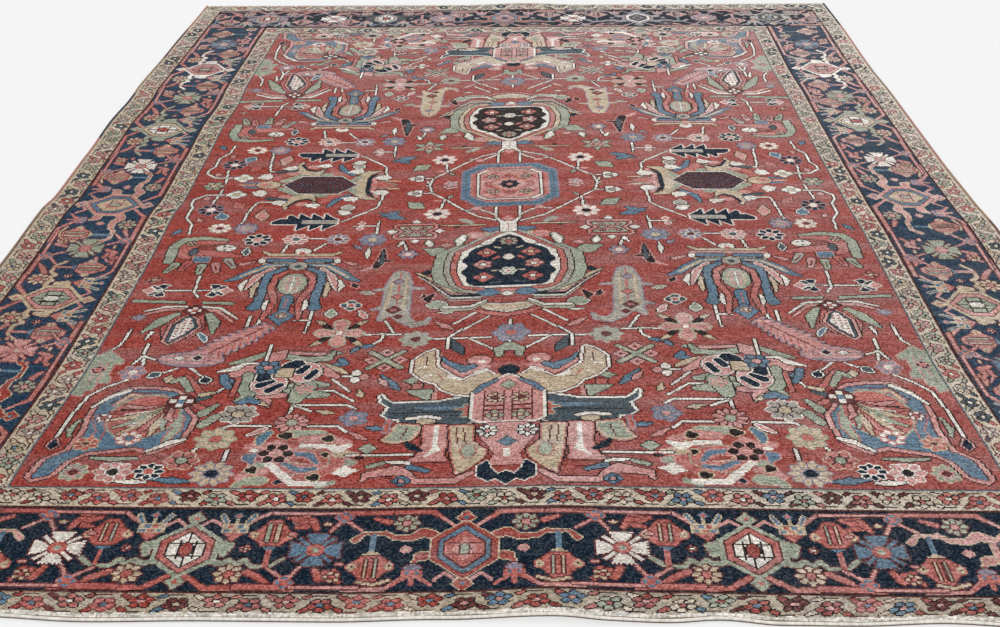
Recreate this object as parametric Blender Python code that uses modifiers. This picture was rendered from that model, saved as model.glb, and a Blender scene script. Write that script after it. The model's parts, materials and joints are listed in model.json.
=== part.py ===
"""A hand-knotted wool carpet that lies flat, as uneven as an old one.

Five pieces, as a weaver and a repairer make them: the knotted cloth itself, one
overcast selvedge cord along each long side and one overcast cord across each end.
X runs across the carpet, Y along it with the front end at -Y, and Z is up.
The origin is under the middle, on the surface that the carpet lies on.
"""
import bpy
import numpy as np

# Driving sizes, in metres
WIDTH = 2.72                # over both selvedge cords, where the sides run straight
LENGTH = 3.884              # over both end cords, where the ends run straight
PILE_THICKNESS = 0.008      # foundation and worn pile together
SELVEDGE_DIAMETER = 0.009   # overcast wool cord along each long side
END_CORD_DIAMETER = 0.008   # overcast cotton cord across each end
GAP = 0.0003                # parts pieces that touch

# How finely the cloth is divided
CELLS_ACROSS = 32
CELLS_ALONG = 44
CORD_BEVEL_RESOLUTION = 2

# The long sides swing out (+) and in (-) of a straight line.
# Columns: place along the side from the middle, swing outwards
LEFT_SWING = (
    (-1.94, 0.004),
    (-0.57, 0.000),
    (-0.23, 0.007),
    (-0.12, -0.003),
    (0.21, 0.002),
    (0.49, 0.009),
    (0.71, 0.000),
    (0.90, 0.007),
    (1.31, 0.000),
    (1.94, -0.010),
)
RIGHT_SWING = (
    (-1.94, 0.004),
    (-1.00, 0.006),
    (-0.37, 0.009),
    (-0.15, 0.002),
    (0.16, -0.003),
    (0.78, -0.003),
    (1.05, -0.009),
    (1.60, -0.003),
    (1.94, -0.006),
)

# The ends do the same. Columns: place across the end from the middle, swing outwards
FRONT_SWING = (
    (-1.36, -0.018),
    (-0.92, -0.009),
    (-0.72, 0.003),
    (-0.52, -0.001),
    (-0.30, 0.000),
    (-0.10, -0.008),
    (0.10, -0.012),
    (0.20, -0.005),
    (0.30, -0.004),
    (0.39, -0.011),
    (0.50, 0.001),
    (0.62, 0.002),
    (0.78, -0.006),
    (0.95, 0.005),
    (1.36, 0.008),
)
BACK_SWING = (
    (-1.36, -0.007),
    (-0.50, -0.002),
    (0.05, 0.000),
    (0.60, 0.004),
    (1.36, 0.010),
)

# Low swells where the cloth does not lie quite flat.
# Columns: centre x, centre y, reach along x, reach along y, height
SWELLS = (
    (0.10, -1.94, 0.20, 0.18, 0.007),
    (0.04, 1.94, 0.26, 0.16, 0.008),
    (-1.36, 0.70, 0.18, 0.34, 0.004),
    (1.36, -0.37, 0.18, 0.34, 0.004),
)

WOOL_RED = (0.36, 0.085, 0.065, 1.0)
SELVEDGE_ROSE = (0.47, 0.26, 0.22, 1.0)
END_IVORY = (0.62, 0.56, 0.46, 1.0)
WOOL_ROUGHNESS = 0.9


def table_curve(table, places):
    """The second column at each place, eased along a half cosine between two rows."""
    rows = np.array(table)
    index = np.clip(np.searchsorted(rows[:, 0], places) - 1, 0, len(rows) - 2)
    start, end = rows[index], rows[index + 1]
    share = np.clip((places - start[:, 0]) / (end[:, 0] - start[:, 0]), 0.0, 1.0)
    eased = 0.5 - 0.5 * np.cos(np.pi * share)
    return start[:, 1] + (end[:, 1] - start[:, 1]) * eased


def swell_height(x, y):
    """How far the underside stands above the floor: a sum of round cosine mounds."""
    height = np.zeros_like(x)
    for centre_x, centre_y, reach_x, reach_y, top in SWELLS:
        radius = np.hypot((x - centre_x) / reach_x, (y - centre_y) / reach_y)
        height += top * (0.5 + 0.5 * np.cos(np.pi * np.minimum(radius, 1.0)))
    return height


def centred(low_side, high_side):
    """Both sides moved together, so that their outermost points are equally far out."""
    middle = 0.5 * (high_side.max() + low_side.min())
    return low_side - middle, high_side - middle


def plan_edges():
    """Outer edges of the whole carpet: left and right x down the rows of the grid,
    front and back y across its columns."""
    along = np.linspace(-LENGTH / 2, LENGTH / 2, CELLS_ALONG + 1)
    across = np.linspace(-WIDTH / 2, WIDTH / 2, CELLS_ACROSS + 1)
    left, right = centred(-WIDTH / 2 - table_curve(LEFT_SWING, along),
                          WIDTH / 2 + table_curve(RIGHT_SWING, along))
    front, back = centred(-LENGTH / 2 - table_curve(FRONT_SWING, across),
                          LENGTH / 2 + table_curve(BACK_SWING, across))
    return left, right, front, back


def cloth_grid(side_room, end_room):
    """Grid points of the cloth, rows from front to back. Each point is blended
    between the left and right edge and between the front and back edge, both
    drawn in by the room that the cords take."""
    left, right, front, back = plan_edges()
    u = np.linspace(0.0, 1.0, CELLS_ACROSS + 1)[None, :]
    v = np.linspace(0.0, 1.0, CELLS_ALONG + 1)[:, None]
    x = (left + side_room)[:, None] * (1 - u) + (right - side_room)[:, None] * u
    y = (front + end_room)[None, :] * (1 - v) + (back - end_room)[None, :] * v
    return x, y


def wool(name, colour):
    """A plain wool material."""
    material = bpy.data.materials.new(name)
    material.use_nodes = True
    shader = material.node_tree.nodes["Principled BSDF"]
    shader.inputs["Base Color"].default_value = colour
    shader.inputs["Roughness"].default_value = WOOL_ROUGHNESS
    shader.inputs["Metallic"].default_value = 0.0
    material.diffuse_color = colour
    return material


def knotted_cloth(collection, side_room, end_room):
    """The one-piece cloth: a grid laid on its swells and thickened upwards."""
    x, y = cloth_grid(side_room, end_room)
    bpy.ops.mesh.primitive_grid_add(x_subdivisions=CELLS_ACROSS,
                                    y_subdivisions=CELLS_ALONG, size=2.0)
    cloth = bpy.context.object
    cloth.name = cloth.data.name = "rug"
    unit = np.empty(len(cloth.data.vertices) * 3)
    cloth.data.vertices.foreach_get("co", unit)
    unit = unit.reshape(-1, 3)
    column = np.rint((unit[:, 0] + 1) / 2 * CELLS_ACROSS).astype(int)
    row = np.rint((unit[:, 1] + 1) / 2 * CELLS_ALONG).astype(int)
    px, py = x[row, column], y[row, column]
    points = np.stack([px, py, swell_height(px, py)], axis=1)
    cloth.data.vertices.foreach_set("co", points.ravel())
    cloth.data.update()
    thick = cloth.modifiers.new("pile and foundation", "SOLIDIFY")
    thick.thickness = PILE_THICKNESS
    thick.offset = 1.0
    cloth.data.materials.append(wool("wool pile", WOOL_RED))
    for holder in list(cloth.users_collection):
        holder.objects.unlink(cloth)
    collection.objects.link(cloth)
    return cloth


def overcast_cord(name, x, y, diameter, material, collection, parent):
    """A round cord along the points (x, y), lying on the floor or on the swells."""
    radius = diameter / 2
    start = (x[0], y[0], radius)
    curve = bpy.data.curves.new(name, "CURVE")
    curve.dimensions = "3D"
    curve.bevel_depth = radius
    curve.bevel_resolution = CORD_BEVEL_RESOLUTION
    curve.use_fill_caps = True
    spline = curve.splines.new("POLY")
    spline.points.add(len(x) - 1)
    lift = swell_height(x, y)
    route = np.stack([x - start[0], y - start[1], lift, np.ones_like(x)], axis=1)
    spline.points.foreach_set("co", route.ravel())
    cord = bpy.data.objects.new(name, curve)
    cord.location = start
    cord.parent = parent
    curve.materials.append(material)
    collection.objects.link(cord)
    return cord


def selvedge_cords(collection, parent):
    """One wool cord along each long side, as long as the whole carpet."""
    left, right, front, back = plan_edges()
    radius = SELVEDGE_DIAMETER / 2
    x, y = cloth_grid(SELVEDGE_DIAMETER + GAP, END_CORD_DIAMETER + GAP)
    material = wool("selvedge wool", SELVEDGE_ROSE)
    for name, column, centre in (("selvedge_left", 0, left + radius),
                                 ("selvedge_right", -1, right - radius)):
        stations = y[:, column].copy()
        stations[0], stations[-1] = front[column], back[column]
        overcast_cord(name, centre, stations, SELVEDGE_DIAMETER, material, collection, parent)


def end_cords(collection, parent):
    """One cotton cord across each end, held between the two selvedge cords."""
    front, back = plan_edges()[2:]
    radius = END_CORD_DIAMETER / 2
    x, y = cloth_grid(SELVEDGE_DIAMETER + GAP, END_CORD_DIAMETER + GAP)
    material = wool("end cotton", END_IVORY)
    for name, row, centre in (("end_finish_front", 0, front + radius),
                              ("end_finish_back", -1, back - radius)):
        overcast_cord(name, x[row].copy(), centre, END_CORD_DIAMETER, material,
                      collection, parent)


def build():
    """Clear the scene and make the carpet's pieces."""
    for old in list(bpy.data.objects):
        bpy.data.objects.remove(old)
    collection = bpy.data.collections.new("persian rug")
    bpy.context.scene.collection.children.link(collection)
    carpet = bpy.data.objects.new("carpet", None)
    collection.objects.link(carpet)
    cloth = knotted_cloth(collection, SELVEDGE_DIAMETER + GAP, END_CORD_DIAMETER + GAP)
    cloth.parent = carpet
    selvedge_cords(collection, carpet)
    end_cords(collection, carpet)


build()
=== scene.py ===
"""The looks of a hand-knotted wool carpet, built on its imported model.

The carpet is made here as it is made on the loom: a chart of dyed knots, the pile
that the knots form, the woven foundation that carries it, and the overcast cords
round its four sides. X runs across the carpet, Y along it, Z up, in metres.
"""
import json

import bpy
import numpy as np
from mathutils import Matrix

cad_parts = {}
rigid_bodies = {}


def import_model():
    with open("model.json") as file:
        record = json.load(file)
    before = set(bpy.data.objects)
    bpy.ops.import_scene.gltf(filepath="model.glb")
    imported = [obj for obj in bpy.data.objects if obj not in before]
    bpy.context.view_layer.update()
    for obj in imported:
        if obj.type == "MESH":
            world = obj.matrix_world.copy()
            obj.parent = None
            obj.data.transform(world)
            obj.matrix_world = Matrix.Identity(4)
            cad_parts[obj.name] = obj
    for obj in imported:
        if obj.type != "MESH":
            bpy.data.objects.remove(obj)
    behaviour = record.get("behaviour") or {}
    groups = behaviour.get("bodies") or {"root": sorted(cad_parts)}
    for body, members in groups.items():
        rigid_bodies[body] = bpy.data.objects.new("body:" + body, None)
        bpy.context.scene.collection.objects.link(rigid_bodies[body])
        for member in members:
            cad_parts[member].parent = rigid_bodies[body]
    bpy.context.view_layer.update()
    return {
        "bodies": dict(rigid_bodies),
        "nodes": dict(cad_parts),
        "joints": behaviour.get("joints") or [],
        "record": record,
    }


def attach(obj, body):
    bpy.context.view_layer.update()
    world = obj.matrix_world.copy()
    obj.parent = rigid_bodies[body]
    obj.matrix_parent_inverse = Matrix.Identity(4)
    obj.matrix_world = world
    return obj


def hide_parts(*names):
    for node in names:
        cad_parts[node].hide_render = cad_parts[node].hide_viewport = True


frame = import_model()

# ---- How the carpet lies ----------------------------------------------------------
# An old carpet is no true rectangle: its sides and ends swing in and out by some
# millimetres, and it stands up in a few low swells. Every piece is laid on this form.
WIDTH = 2.72                # over both selvedge cords, where the sides run straight
LENGTH = 3.884              # over both end cords, where the ends run straight
PILE_THICKNESS = 0.008      # foundation and worn pile together
SELVEDGE_DIAMETER = 0.009
END_CORD_DIAMETER = 0.008
GAP = 0.0003                # parts pieces that touch

# Columns: place along the side or end from the middle, swing outwards
LEFT_SWING = ((-1.94, 0.004), (-0.57, 0.000), (-0.23, 0.007), (-0.12, -0.003), (0.21, 0.002),
              (0.49, 0.009), (0.71, 0.000), (0.90, 0.007), (1.31, 0.000), (1.94, -0.010))
RIGHT_SWING = ((-1.94, 0.004), (-1.00, 0.006), (-0.37, 0.009), (-0.15, 0.002), (0.16, -0.003),
               (0.78, -0.003), (1.05, -0.009), (1.60, -0.003), (1.94, -0.006))
FRONT_SWING = ((-1.36, -0.018), (-0.92, -0.009), (-0.72, 0.003), (-0.52, -0.001), (-0.30, 0.000),
               (-0.10, -0.008), (0.10, -0.012), (0.20, -0.005), (0.30, -0.004), (0.39, -0.011),
               (0.50, 0.001), (0.62, 0.002), (0.78, -0.006), (0.95, 0.005), (1.36, 0.008))
BACK_SWING = ((-1.36, -0.007), (-0.50, -0.002), (0.05, 0.000), (0.60, 0.004), (1.36, 0.010))

# Columns: centre x, centre y, reach along x, reach along y, height
SWELLS = ((0.10, -1.94, 0.20, 0.18, 0.007), (0.04, 1.94, 0.26, 0.16, 0.008),
          (-1.36, 0.70, 0.18, 0.34, 0.004), (1.36, -0.37, 0.18, 0.34, 0.004))


def table_curve(table, places):
    """The second column at each place, eased along a half cosine between two rows."""
    rows = np.array(table)
    index = np.clip(np.searchsorted(rows[:, 0], places) - 1, 0, len(rows) - 2)
    start, end = rows[index], rows[index + 1]
    share = np.clip((places - start[..., 0]) / (end[..., 0] - start[..., 0]), 0.0, 1.0)
    eased = 0.5 - 0.5 * np.cos(np.pi * share)
    return start[..., 1] + (end[..., 1] - start[..., 1]) * eased


def swell_height(x, y):
    """How far the underside stands above the floor: a sum of round cosine mounds."""
    height = np.zeros_like(x)
    for centre_x, centre_y, reach_x, reach_y, top in SWELLS:
        radius = np.hypot((x - centre_x) / reach_x, (y - centre_y) / reach_y)
        height += top * (0.5 + 0.5 * np.cos(np.pi * np.minimum(radius, 1.0)))
    return height


def edge_pair(low_table, high_table, size, places):
    """The two opposite outer edges at the given places, moved together so that their
    outermost points are equally far from the middle."""
    stations = np.linspace(low_table[0][0], low_table[-1][0], 2001)
    low_most = (-size / 2 - table_curve(low_table, stations)).min()
    high_most = (size / 2 + table_curve(high_table, stations)).max()
    middle = 0.5 * (low_most + high_most)
    return (-size / 2 - table_curve(low_table, places) - middle,
            size / 2 + table_curve(high_table, places) - middle)


def lie(u, v, side_room=SELVEDGE_DIAMETER + GAP, end_room=END_CORD_DIAMETER + GAP):
    """Where the point (u, v) of the cloth lies, both from 0 to 1: blended between the
    left and right edge and between the front and back edge, each drawn in by the
    room that its cord takes."""
    left, right = edge_pair(LEFT_SWING, RIGHT_SWING, WIDTH, LENGTH * (v - 0.5))
    front, back = edge_pair(FRONT_SWING, BACK_SWING, LENGTH, WIDTH * (u - 0.5))
    x = (left + side_room) * (1 - u) + (right - side_room) * u
    y = (front + end_room) * (1 - v) + (back - end_room) * v
    return x, y


CLOTH_WIDTH = WIDTH - 2 * (SELVEDGE_DIAMETER + GAP)
CLOTH_LENGTH = LENGTH - 2 * (END_CORD_DIAMETER + GAP)

# ---- Knotting chart ---------------------------------------------------------------
# The weaver's plan: one dyed knot for each place of the cloth, drawn motif by motif.
# This section counts in millimetres from the middle of the cloth, as on paper.
COLUMNS, ROWS = 750, 1074
KNOT = 1000 * CLOTH_WIDTH / COLUMNS
column_x = (np.arange(COLUMNS) + 0.5 - COLUMNS / 2) * KNOT
row_y = (np.arange(ROWS) + 0.5 - ROWS / 2) * KNOT

# Columns: name, colour (sRGB)
DYES = (
    ("madder", (0.590, 0.240, 0.205)),
    ("coral", (0.675, 0.355, 0.320)),
    # coral painted paler, as sheen, for the long sides and the back
    ("sheened_coral", (0.695, 0.440, 0.410)),
    ("rose", (0.740, 0.510, 0.485)),
    ("maroon", (0.370, 0.160, 0.155)),
    ("navy", (0.055, 0.125, 0.190)),
    # navy painted lighter, as sheen, for the long sides
    ("indigo", (0.112, 0.215, 0.305)),
    # beige made darker for the front outer guard: partly dirt, partly painted shade
    ("shaded_dirty_beige", (0.650, 0.590, 0.510)),
    ("blue", (0.340, 0.445, 0.525)),
    ("slate", (0.265, 0.315, 0.345)),
    ("lavender", (0.530, 0.490, 0.545)),
    ("sage", (0.585, 0.605, 0.530)),
    ("camel", (0.720, 0.640, 0.535)),
    ("beige", (0.740, 0.680, 0.595)),
    ("grey", (0.620, 0.590, 0.550)),
    ("ivory", (0.835, 0.805, 0.765)),
    ("dark", (0.155, 0.120, 0.115)),
    ("aubergine", (0.230, 0.140, 0.190)),
)
DYE = {name: number for number, (name, colour) in enumerate(DYES)}
chart = np.full((ROWS, COLUMNS), DYE["madder"], np.uint8)


class Patch:
    """The knots within reach of (x, y). u and v say how far each one lies across and
    along a motif placed there, mirrored by flip (left and right) and tip (front and
    back), then turned, then folded over on the axes named in fold."""

    def __init__(self, x, y, reach, fold="", turn=0.0, flip=1, tip=1):
        span = np.array((-reach, reach))
        left, right = np.clip(((x + span) / KNOT + COLUMNS / 2).astype(int), 0, COLUMNS)
        front, back = np.clip(((y + span) / KNOT + ROWS / 2).astype(int), 0, ROWS)
        across = flip * (column_x[left:right] - x)[None, :]
        along = tip * (row_y[front:back] - y)[:, None]
        cos, sin = np.cos(turn), np.sin(turn)
        self.knots = chart[front:back, left:right]
        self.u = across * cos + along * sin
        self.v = along * cos - across * sin
        if "u" in fold:
            self.u = np.abs(self.u)
        if "v" in fold:
            self.v = np.abs(self.v)

    def tie(self, dyes, inside):
        """Ties the knots inside a shape in the first dye named, and rings of one knot
        round it in the next ones."""
        names = dyes.split()
        layers = [inside]
        for _ in names[1:]:
            grown = layers[-1].copy()
            grown[1:] |= layers[-1][:-1]
            grown[:-1] |= layers[-1][1:]
            grown[:, 1:] |= layers[-1][:, :-1]
            grown[:, :-1] |= layers[-1][:, 1:]
            layers.append(grown)
        for layer, name in zip(layers[::-1], names[::-1]):
            self.knots[layer] = DYE[name]

    def oval(self, dyes, u, v, a, b=None):
        """An ellipse about (u, v) with half-axes a and b."""
        self.tie(dyes, ((self.u - u) / a) ** 2 + ((self.v - v) / (b or a)) ** 2 < 1)

    def box(self, dyes, u, v, a, b):
        """A rectangle about (u, v) with half-sides a and b."""
        self.tie(dyes, (np.abs(self.u - u) < a) & (np.abs(self.v - v) < b))

    def lozenge(self, dyes, u, v, a, b=None):
        """A lozenge about (u, v) with half-diagonals a and b."""
        self.tie(dyes, np.abs(self.u - u) / a + np.abs(self.v - v) / (b or a) < 1)

    def inside_band(self, route):
        """Within a distance of a route; each row of the route is a point and the
        distance there, and between two rows both change evenly."""
        inside = np.zeros(self.u.shape, bool)
        for (u0, v0, w0), (u1, v1, w1) in zip(route[:-1], route[1:]):
            du, dv = u1 - u0, v1 - v0
            across, along = self.u - u0, self.v - v0
            share = np.clip((across * du + along * dv) / max(du * du + dv * dv, 1e-9), 0, 1)
            inside |= np.hypot(across - share * du, along - share * dv) < w0 + share * (w1 - w0)
        return inside

    def band(self, dyes, *route):
        self.tie(dyes, self.inside_band(route))

    def inside_shape(self, points):
        """Inside a polygon, by counting the sides crossed on the way out to the right."""
        inside = np.zeros(self.u.shape, bool)
        for (u0, v0), (u1, v1) in zip(points, points[1:] + points[:1]):
            if v0 != v1:
                crossed = self.u < u0 + (self.v - v0) * (u1 - u0) / (v1 - v0)
                inside ^= ((v0 > self.v) != (v1 > self.v)) & crossed
        return inside

    def shape(self, dyes, *points):
        self.tie(dyes, self.inside_shape(points))

    def bloom(self, petal, line, heart, u, v, radius, petals=6, rim=None, core=0.32):
        """A round flower of scalloped petals, parted by thin lines, round a heart."""
        du, dv = self.u - u, self.v - v
        r, angle = np.hypot(du, dv), np.arctan2(dv, du)
        flower = r < radius * (0.87 + 0.13 * np.cos(petals * angle))
        parting = np.abs(np.cos(petals * angle / 2)) * r * 2 / petals
        self.tie(petal + " " + (rim or line), flower)
        self.tie(line, flower & (parting < 0.5 * KNOT) & (r > core * radius))
        self.tie(heart + " " + line, r < core * radius)


# ---- Chart: motifs of the field ---------------------------------------------------
# Each motif is drawn where it lies in the front right quarter of the field: u runs from
# the middle of the cloth to the right, v is minus towards the front. A motif that is
# the same on both sides of its own middle line counts from that line.
def serrated_leaf(p):
    """A long dark leaf with pointed teeth on both sides and a grey midrib."""
    u, v = p.u, p.v + 279
    tooth = ((u - 506) / 35) % 1.0
    half = np.where((u > 506) & (u < np.where(v > 0, 646, 611)), 20 + 37 * tooth, 18)
    p.tie("navy ivory rose", (np.abs(v) < half) & (u > 501) & (u < 686 - np.maximum(v, 0)))
    p.box("grey", 552, -280, 50, 12)


def hexagon_palmette(p):
    """A latticed hexagon between camel sepals, with coral and blue petals, a camel
    flower at its outer end and ivory tufts all round."""
    p.band("camel", (-240, 28, 4), (-185, 26, 4))
    p.lozenge("coral sage dark", -190, 0, 44, 28)
    p.band("rose", (-178, 84, 9), (-160, 44, 9), (-168, 8, 5))
    p.band("navy", (-168, 86, 4), (-146, 50, 8), (-148, 4, 6))
    p.band("camel dark", (-176, 106, 4), (-138, 92, 14), (-122, 52, 19), (-122, 0, 18))
    p.band("coral", (-84, 74, 14), (-40, 92, 18), (-22, 128, 9))
    p.band("blue dark", (-94, 76, 7), (-60, 114, 10), (-46, 158, 5))
    p.band("camel dark", (0, 126, 4), (22, 84, 15), (62, 96, 18), (82, 134, 12), (74, 176, 4))
    p.band("navy", (0, 122, 3), (26, 106, 5), (52, 118, 5), (72, 158, 5))
    p.oval("rose", 34, 142, 20, 13)
    p.band("sage", (-112, 62, 8), (-100, 36, 13))
    p.oval("sage", -12, 78, 19, 15)
    p.band("sage", (66, 72, 9), (112, 30, 13))
    p.oval("rose", 92, 88, 20, 13)
    p.band("slate dark", (88, 114, 7), (140, 100, 8))
    p.band("coral", (126, 72, 10), (146, 40, 16))
    p.band("camel", (186, 0, 5), (240, 0, 4))
    p.oval("camel dark", 154, 0, 36, 27)
    p.bloom("camel", "coral", "coral", 164, 0, 18, 6)
    p.band("blue", (190, 20, 7), (225, 16, 5))
    for u, v, a, b in ((-104, 104, 23, 17), (0, 150, 21, 14), (104, 130, 20, 15), (170, 62, 20, 21),
                       (-190, 56, 24, 18)):
        p.oval("ivory dark", u, v, a, b)
        p.box("ivory", u - 0.4 * a, v + b, 4, 5)
        p.box("ivory", u + a, v - 0.3 * b, 5, 4)
    core = p.inside_shape(((-112, -1), (-58, 66), (58, 66), (110, -1)))
    p.tie("aubergine ivory sage", core)
    grain = np.sin((p.u + 0.8 * p.v) / 4.1) * np.sin((p.u - 0.8 * p.v) / 4.6)
    p.tie("maroon", core & (grain > 0.25))
    p.tie("slate", core & (grain < -0.62))


def drooping_palmette(p):
    """A flower seen from the side: striped arms hang down both sides of a sage pod
    that ends in a spiked floret, under a bracket with a grey oval."""
    p.band("rose maroon", (0, -508, 6), (100, -508, 6))
    p.band("camel dark", (0, -491, 7), (86, -489, 7), (103, -474, 5))
    p.oval("ivory dark", 0, -469, 22, 19)
    p.oval("coral", 0, -482, 10)
    p.band("rose dark", (122, -534, 4), (150, -548, 8))
    p.band("camel maroon", (22, -540, 4), (92, -545, 5))
    p.band("blue dark", (18, -524, 8), (98, -526, 9))
    p.band("blue dark", (28, -550, 7), (78, -556, 12), (122, -596, 13), (145, -627, 11), (172, -644, 4))
    p.band("camel", (40, -552, 3), (80, -559, 5), (119, -597, 5), (142, -623, 3))
    p.oval("ivory dark", 101, -527, 9, 14)
    p.band("rose ivory dark", (66, -572, 5), (97, -617, 7), (108, -652, 8), (120, -690, 4))
    p.band("ivory dark", (121, -640, 4), (130, -672, 8), (124, -700, 2))
    p.band("camel dark", (90, -655, 5), (95, -690, 7), (93, -732, 3))
    p.band("blue dark", (35, -574, 8), (68, -602, 10), (74, -649, 9), (69, -717, 10), (72, -765, 11),
           (76, -788, 16))
    p.band("coral dark", (26, -592, 7), (48, -622, 8), (52, -686, 8), (37, -730, 8), (31, -761, 7),
           (41, -811, 9), (44, -849, 4))
    p.band("ivory dark", (49, -750, 3), (51, -778, 7), (49, -801, 3))
    p.oval("sage dark", 0, -660, 36, 58)
    for u, dye in ((0, "ivory"), (12, "rose"), (24, "camel")):
        p.band(dye, (0.6 * u, -622, 2.5), (1.05 * u, -660, 3), (0.6 * u, -700, 2.5))
    p.band("blue dark", (0, -738, 15), (0, -800, 13))
    p.band("coral", (0, -742, 3), (0, -800, 3))
    p.lozenge("blue dark", 0, -836, 32, 42)
    p.bloom("camel", "maroon", "ivory", 0, -830, 14, 5)
    p.oval("grey dark", 0, -558, 24, 24)
    p.oval("slate", 0, -560, 9)


def chequered_cross(p, u, v, step, half, heart, heart_half):
    """Four small ivory squares crosswise round a coloured one."""
    for du, dv in ((-step, 0), (step, 0), (0, step), (0, -step)):
        p.box("ivory", u + du, v + dv, half, half)
    p.box(heart, u, v, heart_half, heart_half)


def pomegranate(p):
    """A seeded fruit in dark and rose rings, hung from a camel bar under ivory arms
    and a small cross flower."""
    p.band("sage dark", (706, -768, 6), (776, -764, 6))
    p.band("sage dark", (826, -764, 6), (950, -756, 7))
    p.band("rose dark", (768, -800, 6), (735, -806, 6), (688, -862, 3))
    p.band("rose dark", (815, -798, 6), (862, -802, 7), (908, -828, 3))
    p.band("ivory dark", (774, -786, 4), (730, -792, 5), (680, -846, 3))
    p.band("ivory dark", (814, -785, 4), (861, -786, 5), (911, -810, 3))
    p.band("sage dark", (828, -826, 9), (856, -858, 16), (878, -896, 10), (892, -920, 3))
    p.band("sage dark", (752, -824, 8), (730, -866, 14), (724, -918, 3))
    p.band("coral dark", (768, -836, 6), (756, -892, 8), (776, -948, 3))
    p.band("coral dark", (822, -842, 6), (842, -896, 9), (834, -946, 3))
    seed = p.inside_band(((795, -852, 8), (797, -886, 22), (804, -920, 14), (816, -958, 2)))
    p.tie("ivory slate slate dark rose rose dark", seed)
    grain = np.sin((p.u + p.v) / 4.2) * np.sin((p.u - p.v) / 4.2)
    p.tie("madder", seed & (grain > 0.42))
    p.band("ivory dark", (867, -917, 5), (875, -952, 2))
    p.band("blue ivory dark", (752, -922, 4), (741, -940, 7), (732, -960, 2))
    p.lozenge("lavender slate", 918, -842, 18, 15)
    p.lozenge("maroon dark", 790, -806, 32, 30)
    chequered_cross(p, 790, -806, 12, 5, "coral", 5)


def corner_palmette(p):
    """The large palmette in a corner of the field: a rose line round a light-blue rim,
    with petals of coral, camel and sage that spread from a maroon cross, and a tail."""
    p.band("coral dark", (686, -1190, 7), (718, -1150, 10), (736, -1120, 8))
    p.band("sage dark", (714, -1180, 7), (744, -1128, 9), (764, -1142, 6))
    p.lozenge("camel dark", 774, -1130, 13, 18)
    p.band("coral dark", (656, -1262, 8), (684, -1242, 8))
    p.band("camel dark", (660, -1188, 5), (684, -1198, 7))
    p.band("slate dark", (664, -1206, 4), (690, -1220, 8))
    p.band("sage dark", (640, -1240, 5), (662, -1276, 12))
    p.band("sage dark", (632, -1290, 11), (652, -1324, 11))
    p.band("sage dark", (750, -1452, 3), (790, -1456, 7), (838, -1452, 4))
    p.shape("blue maroon rose rose rose dark", (738, -1188), (800, -1176), (852, -1182), (888, -1240),
            (889, -1300), (882, -1350), (890, -1424), (926, -1456), (938, -1526), (906, -1512),
            (890, -1466), (856, -1430), (806, -1418), (764, -1408), (726, -1424), (688, -1392),
            (682, -1341), (682, -1292), (706, -1262))
    p.band("camel coral", (763, -1206, 5), (838, -1202, 5), (856, -1244, 4))
    p.band("maroon", (773, -1192, 2), (837, -1190, 2), (870, -1236, 2))
    p.band("sage coral", (706, -1290, 8), (700, -1340, 10), (712, -1384, 6))
    p.oval("coral sage sage", 783, -1290, 72, 86)
    for u, v, dye, width in ((832, -1244, "rose", 9), (856, -1276, "coral", 9), (852, -1306, "camel", 8),
                             (834, -1338, "sage", 9), (814, -1362, "camel", 8), (782, -1374, "coral", 9),
                             (750, -1368, "camel", 9), (728, -1344, "sage", 8), (718, -1308, "rose", 7)):
        p.band(dye + " maroon", (731, -1242, 3), (0.55 * u + 335, 0.55 * v - 574, width), (u, v, 3))
    for u, v, dye in ((822, -1282, "ivory"), (801, -1328, "ivory"), (767, -1346, "rose"),
                      (837, -1264, "dark"), (742, -1326, "camel")):
        p.band(dye, (0.4 * u + 448, 0.4 * v - 756, 2), (u, v, 2.5))
    p.lozenge("sage camel", 785, -1292, 12, 18)
    p.band("blue coral", (877, -1296, 9), (853, -1350, 8), (858, -1380, 10))
    p.bloom("ivory", "maroon", "coral", 863, -1298, 17, 5)
    p.bloom("ivory", "coral", "blue", 787, -1377, 27, 7, "coral", 0.36)
    p.bloom("coral", "camel", "maroon", 868, -1399, 26, 7, "camel", 0.25)
    p.band("ivory dark", (845, -1180, 7), (881, -1212, 6), (903, -1252, 4))
    p.band("ivory dark", (674, -1380, 5), (702, -1394, 8), (738, -1426, 3))
    p.band("sage dark", (912, -1306, 3), (918, -1346, 7), (912, -1372, 3))
    p.oval("maroon dark", 720, -1226, 28, 28)
    chequered_cross(p, 720, -1226, 17, 7, "blue", 8)


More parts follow.
